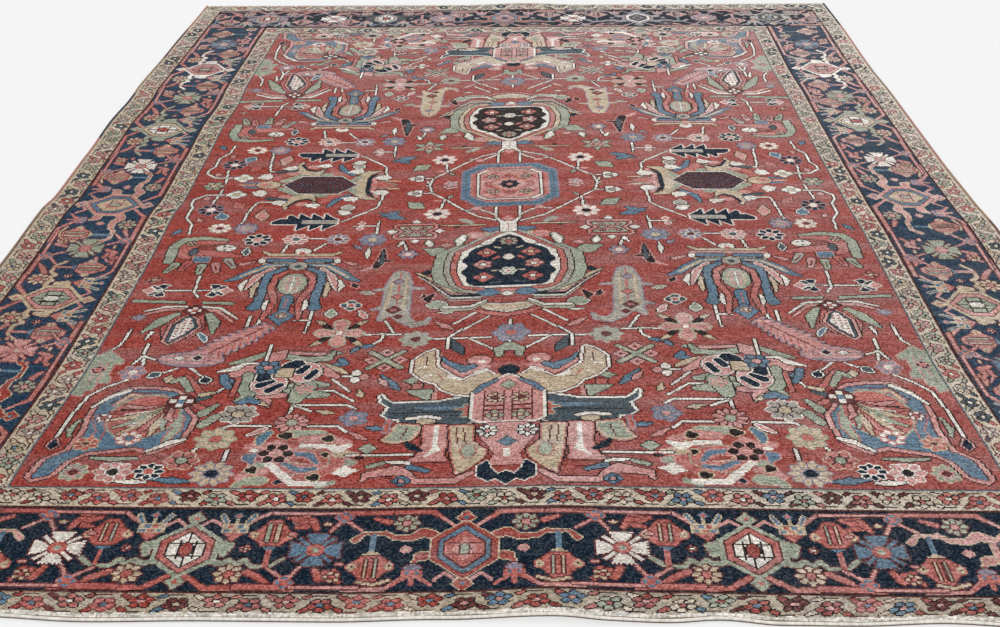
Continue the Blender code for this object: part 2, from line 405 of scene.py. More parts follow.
def cross_palmette(p):
    """A flower seen from above, bound by two ivory bands, with light-blue stripes at
    its heart, dark buds round it and leaves of sage and rose."""
    p.band("sage camel", (356, -1384, 10), (398, -1358, 14), (458, -1356, 12))
    p.band("rose coral", (333, -1388, 8), (378, -1372, 12), (428, -1378, 10))
    p.band("camel rose", (312, -1436, 10), (345, -1431, 15))
    p.band("sage rose", (318, -1462, 12), (348, -1466, 8))
    p.band("coral rose", (348, -1465, 16), (383, -1495, 20), (413, -1507, 12))
    p.band("rose coral", (478, -1392, 12), (496, -1404, 12), (535, -1406, 10))
    p.band("sage rose", (486, -1472, 8), (510, -1476, 12))
    p.band("sage camel", (489, -1526, 14), (520, -1530, 12), (538, -1547, 5))
    p.band("rose", (488, -1496, 10), (524, -1502, 10), (536, -1520, 8))
    p.band("sage", (346, -1532, 8), (372, -1545, 8))
    p.oval("coral sage", 426, -1457, 64, 44)
    p.band("blue rose", (385, -1466, 5), (404, -1436, 8), (444, -1430, 7))
    p.band("blue rose", (388, -1484, 6), (417, -1491, 8), (458, -1464, 6))
    p.band("madder rose", (402, -1464, 4), (422, -1455, 9), (444, -1452, 4))
    p.band("camel", (410, -1468, 2), (440, -1464, 2), (450, -1446, 2))
    p.band("ivory", (326, -1400, 7), (350, -1414, 13), (372, -1404, 8), (426, -1400, 8))
    p.band("ivory", (364, -1535, 9), (424, -1537, 10), (451, -1506, 10), (492, -1458, 8))
    p.band("ivory", (300, -1490, 3), (326, -1494, 17), (350, -1500, 3))
    p.box("ivory", 326, -1494, 7, 20)
    for u, v, size in ((376, -1375, 13), (467, -1364, 14), (386, -1515, 13), (514, -1490, 12),
                       (373, -1434, 9)):
        p.bloom("dark", "dark", "dark", u, v, size * 1.1, 3, "camel")
    p.lozenge("navy rose", 455, -1532, 11, 10)
    p.band("blue camel", (504, -1352, 7), (516, -1374, 11), (517, -1396, 6))
    p.band("blue rose", (512, -1434, 6), (528, -1446, 13), (520, -1464, 5))
    p.oval("ivory", 522, -1420, 10, 7)
    p.bloom("dark", "rose", "rose", 476, -1431, 37, 6, "rose")


def striped_palmette(p):
    """Two curled buds of navy blots in an ivory rim, set askew to each other, with a
    blue flower and a camel square between them, under sage and rose leaves."""
    p.band("rose dark", (440, -1016, 6), (524, -1012, 7))
    p.band("sage dark", (418, -1006, 5), (430, -1036, 12), (478, -1042, 10), (530, -1028, 12))
    p.band("blue dark", (396, -1042, 8), (388, -1060, 11), (408, -1064, 6))
    p.band("camel dark", (378, -1100, 5), (404, -1082, 9), (432, -1066, 7))
    p.band("rose dark", (448, -1066, 10), (428, -1094, 15), (396, -1118, 8))
    p.band("sage dark", (580, -1016, 7), (608, -1040, 12), (652, -1062, 5))
    p.band("rose dark", (592, -1078, 14), (610, -1094, 25), (644, -1112, 9))
    p.band("ivory dark", (580, -1058, 4), (618, -1060, 5), (636, -1082, 10), (672, -1098, 3))
    p.band("rose dark", (536, -1002, 6), (548, -1026, 20), (560, -1056, 8))
    p.band("ivory dark", (572, -976, 3.5), (572, -1056, 4))
    p.band("blue dark", (654, -1116, 9), (648, -1140, 9), (632, -1166, 7))
    p.band("sage dark", (600, -1110, 12), (600, -1162, 16), (580, -1196, 18), (602, -1222, 5))
    p.band("coral dark", (619, -1126, 6), (617, -1202, 6))
    p.band("sage dark", (414, -1154, 8), (454, -1150, 18), (500, -1156, 8))
    p.band("sage dark", (410, -1196, 9), (452, -1192, 20), (498, -1180, 12))
    p.band("sage dark", (462, -1160, 26), (474, -1216, 16))
    p.bloom("rose", "sage", "rose", 462, -1170, 22, 5)
    p.band("rose dark", (506, -1198, 10), (556, -1204, 11), (536, -1222, 9), (530, -1246, 4))
    p.band("camel dark", (566, -1210, 4), (546, -1232, 8), (532, -1242, 3))
    p.band("blue dark", (556, -1228, 7), (576, -1220, 13), (598, -1230, 6))
    p.band("camel dark", (478, -1116, 8), (478, -1146, 7))
    p.oval("rose ivory dark", 474, -1098, 37, 42)
    p.oval("rose ivory dark", 545, -1152, 38, 42)
    for inner, outer in (((498, -1062, 19), (516, -1070, 14)), ((472, -1074, 9), (486, -1096, 10)),
                         ((450, -1094, 9), (462, -1122, 9)), ((566, -1112, 15), (562, -1128, 17)),
                         ((540, -1138, 7), (566, -1156, 11)), ((520, -1154, 8), (542, -1178, 10))):
        p.band("navy ivory", inner, outer)
    p.box("camel dark", 522, -1100, 20, 20)
    p.box("blue", 562, -1078, 25, 27)
    p.bloom("blue", "dark", "rose", 562, -1078, 30, 6)


def feathered_leaf(p):
    """A long rose leaf that leans across the field, feathered along both edges, and
    ends in a barred fan."""
    along = 0.66 * (p.u - 600) - 0.75 * (p.v + 885)
    across = np.abs(0.75 * (p.u - 600) + 0.66 * (p.v + 885))
    edge = 22 * np.clip(1 - ((along - 115) / 135) ** 2, 0, 1) + 19 * ((along / 21) % 1.0)
    leaf = (across < edge) & (along > -8) & (along < 200)
    fan = ((p.u - 745) / 72) ** 2 + ((p.v + 1043) / 31) ** 2 < 1
    p.tie("rose lavender maroon", leaf | fan)
    p.tie("coral", leaf & (np.abs(((along - across) / 21) % 1.0 - 0.5) < 0.12))
    p.tie("lavender", fan & (np.abs(((p.v + 1043) / 15) % 1.0 - 0.5) < 0.17))
    p.band("maroon", (610, -897, 2.2), (712, -1012, 2.2))
    p.lozenge("aubergine ivory", 733, -1035, 14, 12)
    p.lozenge("ivory dark", 773, -1037, 13, 11)


def upright_leaf(p, tone="grey"):
    """A pale upright leaf with side spurs, which curls inwards at its foot."""
    blade = p.inside_band(((293, -612, 22), (293, -660, 33), (293, -800, 37)))
    for route in (((268, -688, 9), (228, -693, 3)), ((320, -690, 9), (354, -696, 3)),
                  ((322, -786, 9), (350, -800, 3)),
                  ((284, -806, 28), (267, -852, 17), (240, -880, 12), (211, -873, 9), (202, -849, 4)),
                  ((306, -812, 18), (327, -852, 6))):
        blade |= p.inside_band(route)
    p.tie(tone + " lavender", blade)
    p.band("camel", (276, -630, 3), (272, -800, 4))
    p.band("camel", (312, -640, 3), (316, -800, 4))
    p.band("coral", (293, -600, 2), (290, -815, 2))
    for u, v, dye, size in ((296, -649, "lavender", 14), (291, -733, "coral", 14), (295, -802, "maroon", 20),
                            (281, -838, "maroon", 10)):
        p.lozenge(dye + " maroon", u, v, size)
    p.box("coral", 295, -802, 6, 6)


def edge_half_motif(p):
    """Half a stepped sage medallion that grows out of the field's edge."""
    p.shape("sage rose", (990, -1034), (964, -1026), (942, -1003), (896, -1050), (896, -1066), (915, -1066),
            (915, -1112), (903, -1130), (903, -1150), (928, -1150), (928, -1182), (942, -1182), (942, -1208),
            (990, -1192))
    for u in (930, 950):
        p.box("rose", u, -1100, 2.5, 45)
    p.lozenge("sage", 945, -1092, 26)
    p.bloom("navy", "rose", "coral", 945, -1092, 15, 4)


def leaf_cluster(p):
    """A leafy cluster of coral and sage scrolls round a slate bud."""
    p.band("coral dark", (798, -412, 12), (868, -412, 22), (896, -450, 26), (880, -500, 20))
    p.band("coral dark", (740, -500, 10), (800, -488, 18), (850, -484, 24))
    p.band("maroon", (806, -440, 2), (850, -446, 2), (862, -452, 2))
    p.band("sage dark", (790, -398, 6), (858, -388, 10), (905, -400, 12), (923, -440, 13), (921, -532, 13))
    p.oval("ivory dark", 783, -450, 26, 20)
    for u, v in ((774, -442), (790, -440), (786, -460)):
        p.box("dark", u, v, 3, 4)
    p.bloom("camel", "dark", "rose", 880, -423, 15, 6)
    p.oval("slate dark", 866, -474, 11, 20)
    p.box("blue rose dark", 835, -522, 22, 16)
    for u, v, lean, dye in ((765, -542, -22, "grey"), (792, -570, -10, "rose"), (826, -578, 0, "sage"),
                            (866, -560, 10, "coral"), (897, -572, 16, "sage")):
        p.band(dye + " dark", (u, v + 20, 12), (u + lean, v - 24, 7))
        p.band("maroon", (u, v + 12, 2.5), (u + lean * 0.8, v - 14, 2.5))


def four_petals(p):
    """Four rose petals with dark and camel leaves between them."""
    p.band("camel dark", (34, 32, 6), (50, 50, 8), (62, 60, 2))
    p.band("dark", (14, 12, 5), (38, 34, 10))
    p.band("rose camel grey", (12, 0, 8), (42, 0, 15))
    p.band("rose camel grey", (0, 12, 8), (0, 46, 16))
    p.box("ivory coral", 0, 0, 8, 8)


def cross_flower(p):
    """A sage saltire with a rose lozenge between each two arms."""
    for u, v in ((34, 0), (0, 34)):
        p.lozenge("rose dark", u, v, 19)
        p.lozenge("maroon", u, v, 6)
    p.band("sage dark", (4, 4, 6), (38, 36, 7))
    p.band("camel", (12, 11, 2), (34, 32, 2))


def cartouche(p):
    """A sage shield with notched ends in a rose line, with ivory buds round it."""
    p.lozenge("ivory dark", 0, 62, 13, 16)
    p.lozenge("ivory dark", 68, 0, 16, 14)
    notch = 20 * np.clip(1 - p.v / 22, 0, 1)
    p.tie("madder rose rose dark", (p.u < 56 - notch) & (p.v < 42))
    p.tie("sage dark", (p.u < 46 - notch) & (p.v < 33))
    p.band("camel", (6, 6, 2), (22, 26, 3), (40, 24, 2))
    p.bloom("rose", "maroon", "camel", 24, 18, 9, 5)
    p.bloom("rose", "maroon", "camel", 0, 0, 16, 6)


def star_flower(p):
    """Six pointed sage petals round a small rose flower."""
    for angle in np.pi * np.arange(0.5, 6) / 3:
        u, v = 40 * np.cos(angle), 40 * np.sin(angle)
        p.band("sage dark", (0.3 * u, 0.3 * v, 9), (0.7 * u, 0.7 * v, 12), (1.3 * u, 1.3 * v, 2))
    p.bloom("rose", "maroon", "camel", 0, 0, 24, 6)


def waisted_flower(p):
    """A small navy flower with a grey waist, beside a rose bud."""
    for v in (-1, 1):
        p.band("navy ivory", (-2, 6 * v, 8), (4, 22 * v, 11), (16, 28 * v, 3))
        p.band("navy ivory", (-4, 10 * v, 5), (-18, 22 * v, 4))
    p.lozenge("rose ivory", -26, 0, 16, 16)
    p.box("grey ivory", 0, 0, 6, 5)


def dark_leaf(p):
    """A small dark two-pointed leaf in a rose line."""
    p.band("dark rose", (353, -455, 3), (353, -515, 13), (365, -562, 11))
    p.band("dark rose", (353, -525, 9), (322, -530, 2))
    p.band("slate", (353, -475, 3), (354, -540, 7))
    p.band("rose", (383, -572, 9), (402, -586, 4))


# ---- Chart: motifs on the middle line ---------------------------------------------
# These count from the middle line of the shields, and are folded over it.
def great_palmette(p):
    """The great palmette at each end of the field: ivory-edged camel horns over slate
    arms, a rose panel of four florets, and long camel and rose leaves down to a navy
    crown."""
    p.band("sage dark", (0, -1000, 18), (26, -1012, 10), (24, -1040, 8))
    p.oval("rose coral dark", 68, -1060, 26, 20)
    p.lozenge("ivory", 62, -1066, 12, 8)
    p.band("rose coral", (52, -1092, 8), (104, -1112, 14), (150, -1078, 8), (166, -1020, 3))
    p.band("blue dark", (84, -1086, 8), (105, -1098, 13), (148, -1062, 5), (156, -1040, 3))
    p.lozenge("sage dark", 222, -1140, 18, 14)
    p.shape("coral dark", (196, -1154), (220, -1158), (214, -1172), (224, -1182), (212, -1192),
            (222, -1204), (192, -1204))
    p.shape("sage dark", (168, -1180), (236, -1180), (206, -1206), (176, -1230))
    p.band("rose", (163, -1176, 3), (165, -1228, 5), (276, -1228, 4))
    p.shape("slate ivory ivory dark", (78, -1214), (150, -1234), (255, -1234), (276, -1212), (286, -1196),
            (280, -1232), (260, -1250), (270, -1284), (256, -1298), (234, -1302), (228, -1318),
            (205, -1322), (78, -1330))
    p.band("dark", (106, -1277, 2.5), (250, -1277, 2.5))
    p.band("blue", (100, -1258, 5), (140, -1262, 7), (200, -1256, 4))
    p.shape("coral sage", (78, -1246), (96, -1250), (92, -1262), (114, -1266), (92, -1276), (100, -1296),
            (78, -1298))
    p.shape("camel maroon ivory ivory dark", (176, -1008), (198, -1022), (218, -1048), (218, -1106),
            (198, -1134), (162, -1156), (148, -1182), (116, -1204), (84, -1206), (40, -1150),
            (36, -1128), (54, -1108), (106, -1150), (126, -1134), (138, -1120), (170, -1084),
            (174, -1060))
    p.band("camel", (30, -1140, 16), (84, -1170, 22))
    p.band("ivory", (54, -1104, 7), (74, -1116, 6))
    p.band("ivory", (112, -1142, 5), (132, -1128, 9))
    p.band("ivory", (212, -1086, 3), (196, -1084, 3), (190, -1068, 2))
    p.band("ivory", (196, -1126, 3), (180, -1120, 3))
    p.band("maroon", (192, -1040, 1.8), (194, -1076, 1.8))
    p.band("coral", (150, -1140, 2), (166, -1112, 2))
    p.oval("navy dark", 0, -1108, 23, 20)
    p.shape("rose ivory ivory dark", (0, -1130), (20, -1142), (70, -1194), (76, -1200), (76, -1306),
            (60, -1318), (0, -1318))
    p.band("blue maroon", (26, -1150, 3), (52, -1170, 8), (72, -1196, 6))
    p.lozenge("sage maroon", 0, -1172, 18, 20)
    for u in (8, 52):
        p.band("maroon", (u, -1196, 2), (u, -1314, 2))
    p.bloom("camel", "maroon", "maroon", 28, -1225, 21, 8)
    for v in (-1258, -1274):
        p.band("maroon", (14, v, 4), (46, v, 4))
    p.lozenge("coral", 30, -1266, 8, 7)
    p.bloom("sage", "maroon", "camel", 28, -1295, 19, 4)
    p.band("ivory dark", (79, -1324, 4), (104, -1336, 4), (126, -1334, 4), (152, -1324, 3))
    p.oval("camel dark", 175, -1314, 20, 12)
    p.band("ivory dark", (146, -1302, 5), (174, -1294, 6), (216, -1300, 5))
    p.shape("sage camel camel coral dark", (186, -1334), (204, -1380), (234, -1388), (258, -1382),
            (242, -1360), (234, -1326))
    p.band("maroon", (212, -1336, 1.8), (222, -1378, 1.8))
    p.band("coral lavender", (255, -1306, 5), (258, -1350, 5))
    p.shape("rose coral dark", (128, -1330), (176, -1330), (174, -1400), (184, -1447), (206, -1462),
            (120, -1462), (130, -1446), (126, -1390))
    p.band("ivory", (150, -1334, 5), (150, -1400, 6), (146, -1420, 9), (166, -1446, 3))
    p.shape("camel coral dark", (71, -1334), (122, -1334), (116, -1398), (112, -1447), (102, -1490),
            (101, -1512), (88, -1500), (71, -1485), (46, -1452), (42, -1426), (71, -1394))
    p.oval("sage coral", 79, -1428, 14, 24)
    for u in (92, 108):
        p.band("maroon", (u, -1340, 1.8), (u - 6, -1400, 1.8))
    p.lozenge("sage dark", 288, -1412, 20, 18)
    p.band("navy dark", (210, -1392, 3), (198, -1410, 9), (176, -1424, 3))
    p.band("ivory dark", (192, -1438, 3), (330, -1436, 3))
    p.lozenge("dark coral", 301, -1446, 16, 8)
    p.band("blue dark", (158, -1497, 5), (195, -1482, 8))
    p.band("ivory dark", (198, -1467, 5), (241, -1462, 5))
    p.band("sage dark", (250, -1466, 6), (278, -1478, 6))
    p.shape("rose maroon", (0, -1324), (44, -1326), (62, -1354), (60, -1372), (40, -1408), (26, -1440),
            (38, -1482), (0, -1482))
    p.bloom("ivory", "navy", "rose", 42, -1355, 23, 8, core=0.25)
    p.lozenge("blue slate", 0, -1395, 18, 18)
    p.box("ivory", 0, -1437, 8, 15)
    p.shape("navy ivory", (0, -1548), (20, -1526), (36, -1534), (56, -1520), (56, -1482), (39, -1462),
            (30, -1492), (16, -1512), (0, -1500))
    p.band("rose dark", (286, -1526, 4), (280, -1506, 9), (244, -1497, 12), (221, -1492, 15),
           (200, -1508, 12), (182, -1532, 8), (103, -1533, 8), (68, -1504, 6))
    p.bloom("blue", "navy", "rose", 208, -1529, 18, 4)


def lower_shield(p, ground="navy", band="grey"):
    """A shield palmette that points to the middle: a dark ground with ivory teeth and
    florets in four bands, over striped legs and pale scrolls."""
    p.band("coral dark", (0, -846, 8), (50, -832, 8), (84, -814, 4))
    p.band("camel ivory dark", (0, -808, 20), (40, -800, 14), (72, -786, 4))
    p.oval("sage ivory dark", 178, -782, 24, 19)
    p.band("sage camel dark", (60, -776, 6), (96, -806, 8), (156, -808, 9))
    p.band("ivory dark", (56, -767, 4), (92, -798, 5), (158, -797, 5))
    p.band("dark rose", (192, -728, 6), (204, -748, 11), (200, -768, 4))
    p.lozenge("navy dark", 215, -602, 13, 14)
    for shift, dyes in ((0, "rose dark"), (12, "sage dark"), (24, "navy ivory"), (36, "rose dark"),
                        (46, "camel dark")):
        p.band(dyes, (70, -764 + shift, 5), (142, -762 + shift, 6), (178 + 0.15 * shift, -706 + shift, 6),
               (192 + 0.5 * shift, -672 + shift, 5), (216 + 0.6 * shift, -650 + shift, 3))
    p.shape("sage dark", (116, -440), (150, -452), (196, -500), (204, -600), (192, -660), (120, -724),
            (60, -730))
    body = p.inside_shape(((0, -357), (62, -420), (126, -486), (134, -540), (134, -610), (124, -650),
                           (114, -684), (56, -698), (0, -698)))
    rings = " dark coral coral coral coral dark {0} {0} {0} {0} dark".format(band)
    p.tie("ivory" + rings, body)
    wave = 118 - 8 * np.cos(2 * np.pi * (p.v + 573) / 68) - np.clip((p.v + 500) * 0.98, 0, 120)
    wave -= np.clip((-648 - p.v) * 0.9, 0, 70)
    p.tie(ground, body & (p.u < wave) & (p.v > -688))
    p.band(ground, (60, -452, 3), (86, -440, 2))
    p.bloom("sage", "maroon", "coral", 0, -425, 25, 8)
    p.bloom("coral", "maroon", "camel", 60, -494, 25, 4)
    p.bloom("rose", "maroon", "ivory", 68, -564, 25, 5)
    p.bloom("coral", "maroon", "ivory", 64, -638, 25, 4)
    p.oval("ivory camel", 0, -523, 12, 14)
    p.bloom("sage", "ivory", "rose", 0, -605, 20, 6)
    p.band("camel", (24, -466, 3), (40, -458, 3))
    p.band("coral", (28, -520, 6), (40, -532, 4))
    p.band("camel", (28, -600, 3), (44, -602, 3))
    p.band("slate", (20, -666, 4), (44, -672, 4))
    p.oval("blue slate", 48, -724, 26, 18)
    p.box("rose", 0, -720, 16, 12)
    p.lozenge("ivory dark", 0, -732, 16, 15)


def neck(p):
    """The ivory neck on a shield's tip, which parts into stems to the middle."""
    p.lozenge("rose coral", 0, -276, 16, 20)
    p.band("ivory dark", (34, -272, 3.4), (34, -180, 3.4))
    p.band("ivory dark", (34, -252, 3), (62, -222, 3), (84, -206, 3), (124, -212, 2.5))
    p.oval("rose maroon", 92, -200, 15, 12)
    p.band("camel dark", (66, -313, 3), (190, -312, 3))
    p.band("grey sage", (104, -300, 5), (122, -284, 10), (136, -276, 4))
    p.lozenge("dark", 146, -325, 11, 8)
    p.band("coral maroon", (80, -348, 3), (150, -346, 3), (168, -362, 3))
    p.oval("camel", 60, -372, 10, 12)
    p.oval("rose coral", 92, -382, 24, 20)
    p.band("blue dark", (28, -340, 9), (50, -348, 15), (72, -342, 6))
    p.band("ivory sage dark", (124, -384, 6), (134, -412, 12), (138, -440, 4))
    p.shape("ivory dark", (0, -362), (22, -362), (22, -304), (38, -270), (30, -268), (10, -296),
            (0, -288))
    p.band("rose", (0, -304, 1.8), (0, -350, 1.8))


def octagon(p):
    """The medallion in the middle: a light-blue crenellated band round a rose panel
    with an ivory edge."""
    u, v = p.u, p.v
    wave = 3.5 * np.sign(np.sin(np.where(v > u, u, v) * np.pi / 7.5))

    def cut(a, b, corner):
        return (u < a) & (v < b) & (u + v < a + b - corner)

    p.tie("blue lavender", cut(144 + wave, 157 + wave, 58))
    p.tie("slate", cut(136, 149, 58) & ~cut(132, 145, 58) & (wave > 0))
    p.tie("coral rose", cut(112 + wave, 126 + wave, 48))
    p.tie("ivory maroon", cut(99, 114, 28))
    p.tie("rose dark", cut(90, 105, 28))
    p.tie("coral", cut(80, 95, 28) & (np.sin((u + v) / 9.0) > 0.55))
    p.bloom("navy", "aubergine", "coral", 0, 0, 29, 8)
    p.band("maroon", (0, 44, 2.5), (0, 80, 2.5))
    p.band("camel", (26, 44, 2.5), (72, 84, 2.5))
    p.bloom("sage", "maroon", "rose", 50, 56, 18, 4)
    p.lozenge("coral maroon", 0, 66, 12, 10)
    p.lozenge("coral maroon", 64, 8, 9, 12)


# ---- Chart: the field -------------------------------------------------------------
# The field is drawn again, upside down, in the back half, where it came out longer in
# the middle and shorter at the end.
FRONT_ROWS = (-1550, -1249, -999, -694, -359, -24)
BACK_ROWS = (1555, 1276, 1002, 679, 302, -24)
AXIS = -9      # the middle of the shields and the medallion


def quarter(x, y, side, end):
    """Where a point of the front right quarter lies in the quarter on the given side
    (-1 left, 1 right) and end (-1 front, 1 back)."""
    return side * x, y if end < 0 else np.interp(y, FRONT_ROWS, BACK_ROWS)


def quarters(x, y):
    """The four places of a point of the front right quarter: side, end and (x, y)."""
    return [(side, end, quarter(x, y, side, end)) for side in (-1, 1) for end in (-1, 1)]


def stem(route, half=3.2, dyes="ivory dark"):
    """A vine of straight runs in the four quarters, with a dark line on both sides."""
    for places in zip(*[quarters(x, y) for x, y in route]):
        points = np.array([spot for side, end, spot in places])
        middle = 0.5 * (points.min(0) + points.max(0))
        reach = 0.5 * (points.max(0) - points.min(0)).max() + 5 * KNOT
        p = Patch(*middle, reach)
        p.band(dyes, *[(x - middle[0], y - middle[1], half) for x, y in points])


VINES = (
    ((28, -292), (66, -272), (96, -256), (152, -192), (202, -128), (244, -80), (254, -20), (262, 10)),
    ((202, -128), (206, -190)),
    ((244, -80), (320, -84)),
    ((390, -72), (398, -178), (414, -200), (487, -277)),
    ((380, -272), (382, -355)),
    ((380, -306), (452, -308)),
    ((507, -388), (565, -388)),
    ((517, -420), (545, -462)),
    ((620, -424), (630, -482)),
    ((290, -462), (302, -410)),
    ((873, -46), (878, -100), (884, -152)),
    ((850, -89), (912, -89), (943, -122), (943, -154), (930, -182), (930, -252), (906, -294), (900, -362)),
    ((703, -140), (753, -142), (760, -180), (766, -290)),
    ((774, -697), (892, -699)),
    ((818, -617), (814, -705), (798, -735)),
    ((500, -810), (503, -917)),
    ((505, -855), (537, -855)),
    ((622, -849), (628, -890)),
    ((648, -835), (648, -885)),
    ((82, -823), (137, -883)),
    ((52, -849), (130, -930)),
    ((45, -955), (187, -953)),
    ((117, -911), (147, -949), (147, -1003)),
    ((97, -957), (15, -1031)),
    ((0, -870), (0, -1000)),
    ((310, -860), (283, -922), (355, -925)),
    ((265, -925), (300, -925)),
    ((308, -925), (313, -955), (335, -975)),
    ((862, -972), (859, -1028), (848, -1070)),
    ((806, -1048), (828, -1045), (859, -1028), (873, -1067)),
    ((920, -905), (925, -975), (942, -1005)),
    ((360, -1116), (408, -1116), (403, -1130), (358, -1182)),
    ((345, -1222), (395, -1178), (425, -1178)),
    ((335, -1255), (353, -1240), (473, -1240)),
    ((470, -1200), (474, -1240), (478, -1278)),
    ((470, -1243), (430, -1265)),
    ((430, -1326), (362, -1326), (342, -1348)),
    ((508, -1325), (595, -1325), (610, -1345)),
    ((576, -1420), (576, -1455)),
    ((640, -1415), (650, -1435)),
    ((740, -1078), (700, -1122)),
    ((767, -1083), (802, -1110)),
    ((643, -1167), (657, -1193)),
    ((865, -1135), (900, -1165), (928, -1204), (936, -1280), (938, -1392)),
)
for route in VINES:
    stem(route)

# Columns: x, y, length, half-width, turn in degrees, dyes
LEAVES = (
    (272, -1145, 82, 11, 52, "blue dark"),
    (288, -1142, 46, 9, 55, "rose dark"),
    (348, -982, 44, 9, -12, "blue dark"),
    (370, -998, 30, 8, -70, "blue dark"),
    (126, -994, 76, 14, 66, "slate dark"),
    (222, -738, 30, 10, 70, "dark rose"),
    (372, -824, 40, 9, 60, "rose ivory dark"),
    (453, -817, 40, 13, 80, "sage ivory dark"),
    (412, -667, 34, 9, 60, "dark rose"),
    (375, -711, 36, 10, 10, "sage rose dark"),
    (672, -1528, 84, 11, 5, "blue dark"),
    (747, -1534, 70, 9, 0, "ivory dark"),
    (640, -1136, 44, 11, 70, "blue dark"),
    (576, -1220, 52, 9, 15, "blue dark"),
    (530, -1350, 50, 7, -42, "rose ivory dark"),
    (285, -1335, 40, 9, 10, "blue dark"),
    (316, -1364, 52, 8, 35, "rose dark"),
    (402, -1268, 40, 9, 12, "camel dark"),
    (333, -1191, 30, 9, 70, "camel dark"),
    (693, -1132, 28, 11, 60, "navy ivory dark"),
    (812, -1114, 28, 11, -50, "slate ivory dark"),
    (165, -888, 66, 10, 40, "rose dark"),
    (165, -825, 40, 6, 5, "ivory dark"),
    (289, -166, 66, 22, 35, "sage dark"),
    (188, -114, 24, 7, -60, "sage dark"),
    (224, -138, 34, 7, 5, "rose"),
    (350, -240, 84, 18, 25, "blue dark"),
    (352, -228, 60, 12, -35, "blue dark"),
    (430, -288, 20, 8, 80, "rose ivory"),
    (432, -320, 20, 8, 80, "rose ivory"),
    (396, -478, 66, 8, 88, "ivory dark"),
    (428, -442, 30, 9, 40, "lavender dark"),
    (230, -423, 42, 9, 75, "ivory sage dark"),
    (308, -424, 36, 8, -75, "ivory dark"),
    (210, -478, 76, 26, 20, "sage dark"),
    (183, -440, 28, 11, 0, "rose maroon"),
    (484, -178, 36, 17, 80, "grey ivory dark"),
    (490, -214, 38, 15, 20, "ivory grey dark"),
    (804, -163, 50, 17, 50, "coral maroon"),
    (720, -232, 66, 16, 80, "rose camel dark"),
    (832, -240, 44, 16, 65, "blue ivory dark"),
    (909, -113, 28, 10, 70, "rose dark"),
    (890, -268, 30, 8, 60, "rose dark"),
    (936, -350, 40, 9, -65, "blue dark"),
    (726, -470, 44, 9, 85, "slate ivory dark"),
    (909, -700, 26, 10, 0, "rose dark"),
    (935, -1400, 40, 11, 80, "navy rose dark"),
    (413, -1010, 30, 7, 20, "sage dark"),
)
for x, y, length, half, turn, dyes in LEAVES:
    for side, end, spot in quarters(x, y):
        p = Patch(*spot, 0.6 * length + 24, turn=np.radians(turn), flip=side, tip=-end)
        p.band(dyes, (-length / 2, 0, half * 0.3), (-length * 0.1, 0, half), (length / 2, half * 0.25, 1))

# Columns: x, y, radius, petals, dyes of petal, line and heart, rim
ROSETTES = (
    (333, -1294, 31, 5, "lavender", "blue", "rose", "blue"),
    (464, -1312, 38, 11, "rose", "maroon", "sage", "dark"),
    (586, -1278, 42, 8, "grey", "aubergine", "camel", "ivory"),
    (610, -1378, 42, 8, "camel", "sage", "coral", "sage"),
    (590, -1504, 43, 10, "camel", "lavender", "navy", "lavender"),
    (660, -1458, 34, 6, "coral", "dark", "sage", "camel"),
    (714, -1497, 29, 8, "navy", "ivory", "coral", "ivory"),
    (784, -1500, 37, 8, "rose", "ivory", "dark", "ivory"),
    (861, -1502, 31, 8, "sage", "rose", "maroon", "camel"),
    (863, -1103, 31, 6, "lavender", "rose", "ivory", "rose"),
    (228, -952, 38, 8, "grey", "sage", "maroon", "sage"),
    (214, -231, 39, 8, "ivory", "rose", "navy", "rose"),
    (390, -397, 38, 8, "lavender", "blue", "camel", "blue"),
    (487, -393, 35, 8, "lavender", "ivory", "maroon", "rose"),
    (603, -393, 34, 9, "rose", "ivory", "slate", "ivory"),
    (707, -397, 38, 8, "navy", "ivory", "rose", "ivory"),
    (750, -323, 35, 8, "lavender", "rose", "grey", "slate"),
    (822, -323, 31, 8, "ivory", "rose", "maroon", "camel"),
    (872, -197, 37, 8, "navy", "rose", "ivory", "lavender"),
    (827, -87, 30, 4, "ivory", "sage", "camel", "dark"),
    (188, -34, 25, 5, "rose", "lavender", "grey", "maroon"),
    (293, -80, 26, 3, "ivory", "dark", "grey", "dark"),
    (406, -777, 26, 4, "slate", "ivory", "coral", "ivory"),
    (285, -490, 28, 6, "lavender", "rose", "ivory", "dark"),
    (930, -640, 20, 4, "coral", "dark", "camel", "dark"),
    (905, -24, 32, 6, "sage", "maroon", "camel", "dark"),
)
for x, y, radius, petals, petal, line, heart, rim in ROSETTES:
    for side, end, spot in quarters(x, y):
        p = Patch(*spot, radius + 12, flip=side, tip=-end)
        p.bloom(petal, line, heart, 0, 0, radius, petals, rim)


def white_trefoil(p):
    """Two ivory buds and a rose one together."""
    for u, v, dye in ((353, -1101, "ivory"), (353, -1132, "ivory"), (333, -1118, "rose")):
        p.oval(dye + " dark", u, v, 11, 12)


# What stands in the back half in place of a motif
BACK_MOTIFS = {cartouche: star_flower, upright_leaf: lambda p: upright_leaf(p, "camel")}
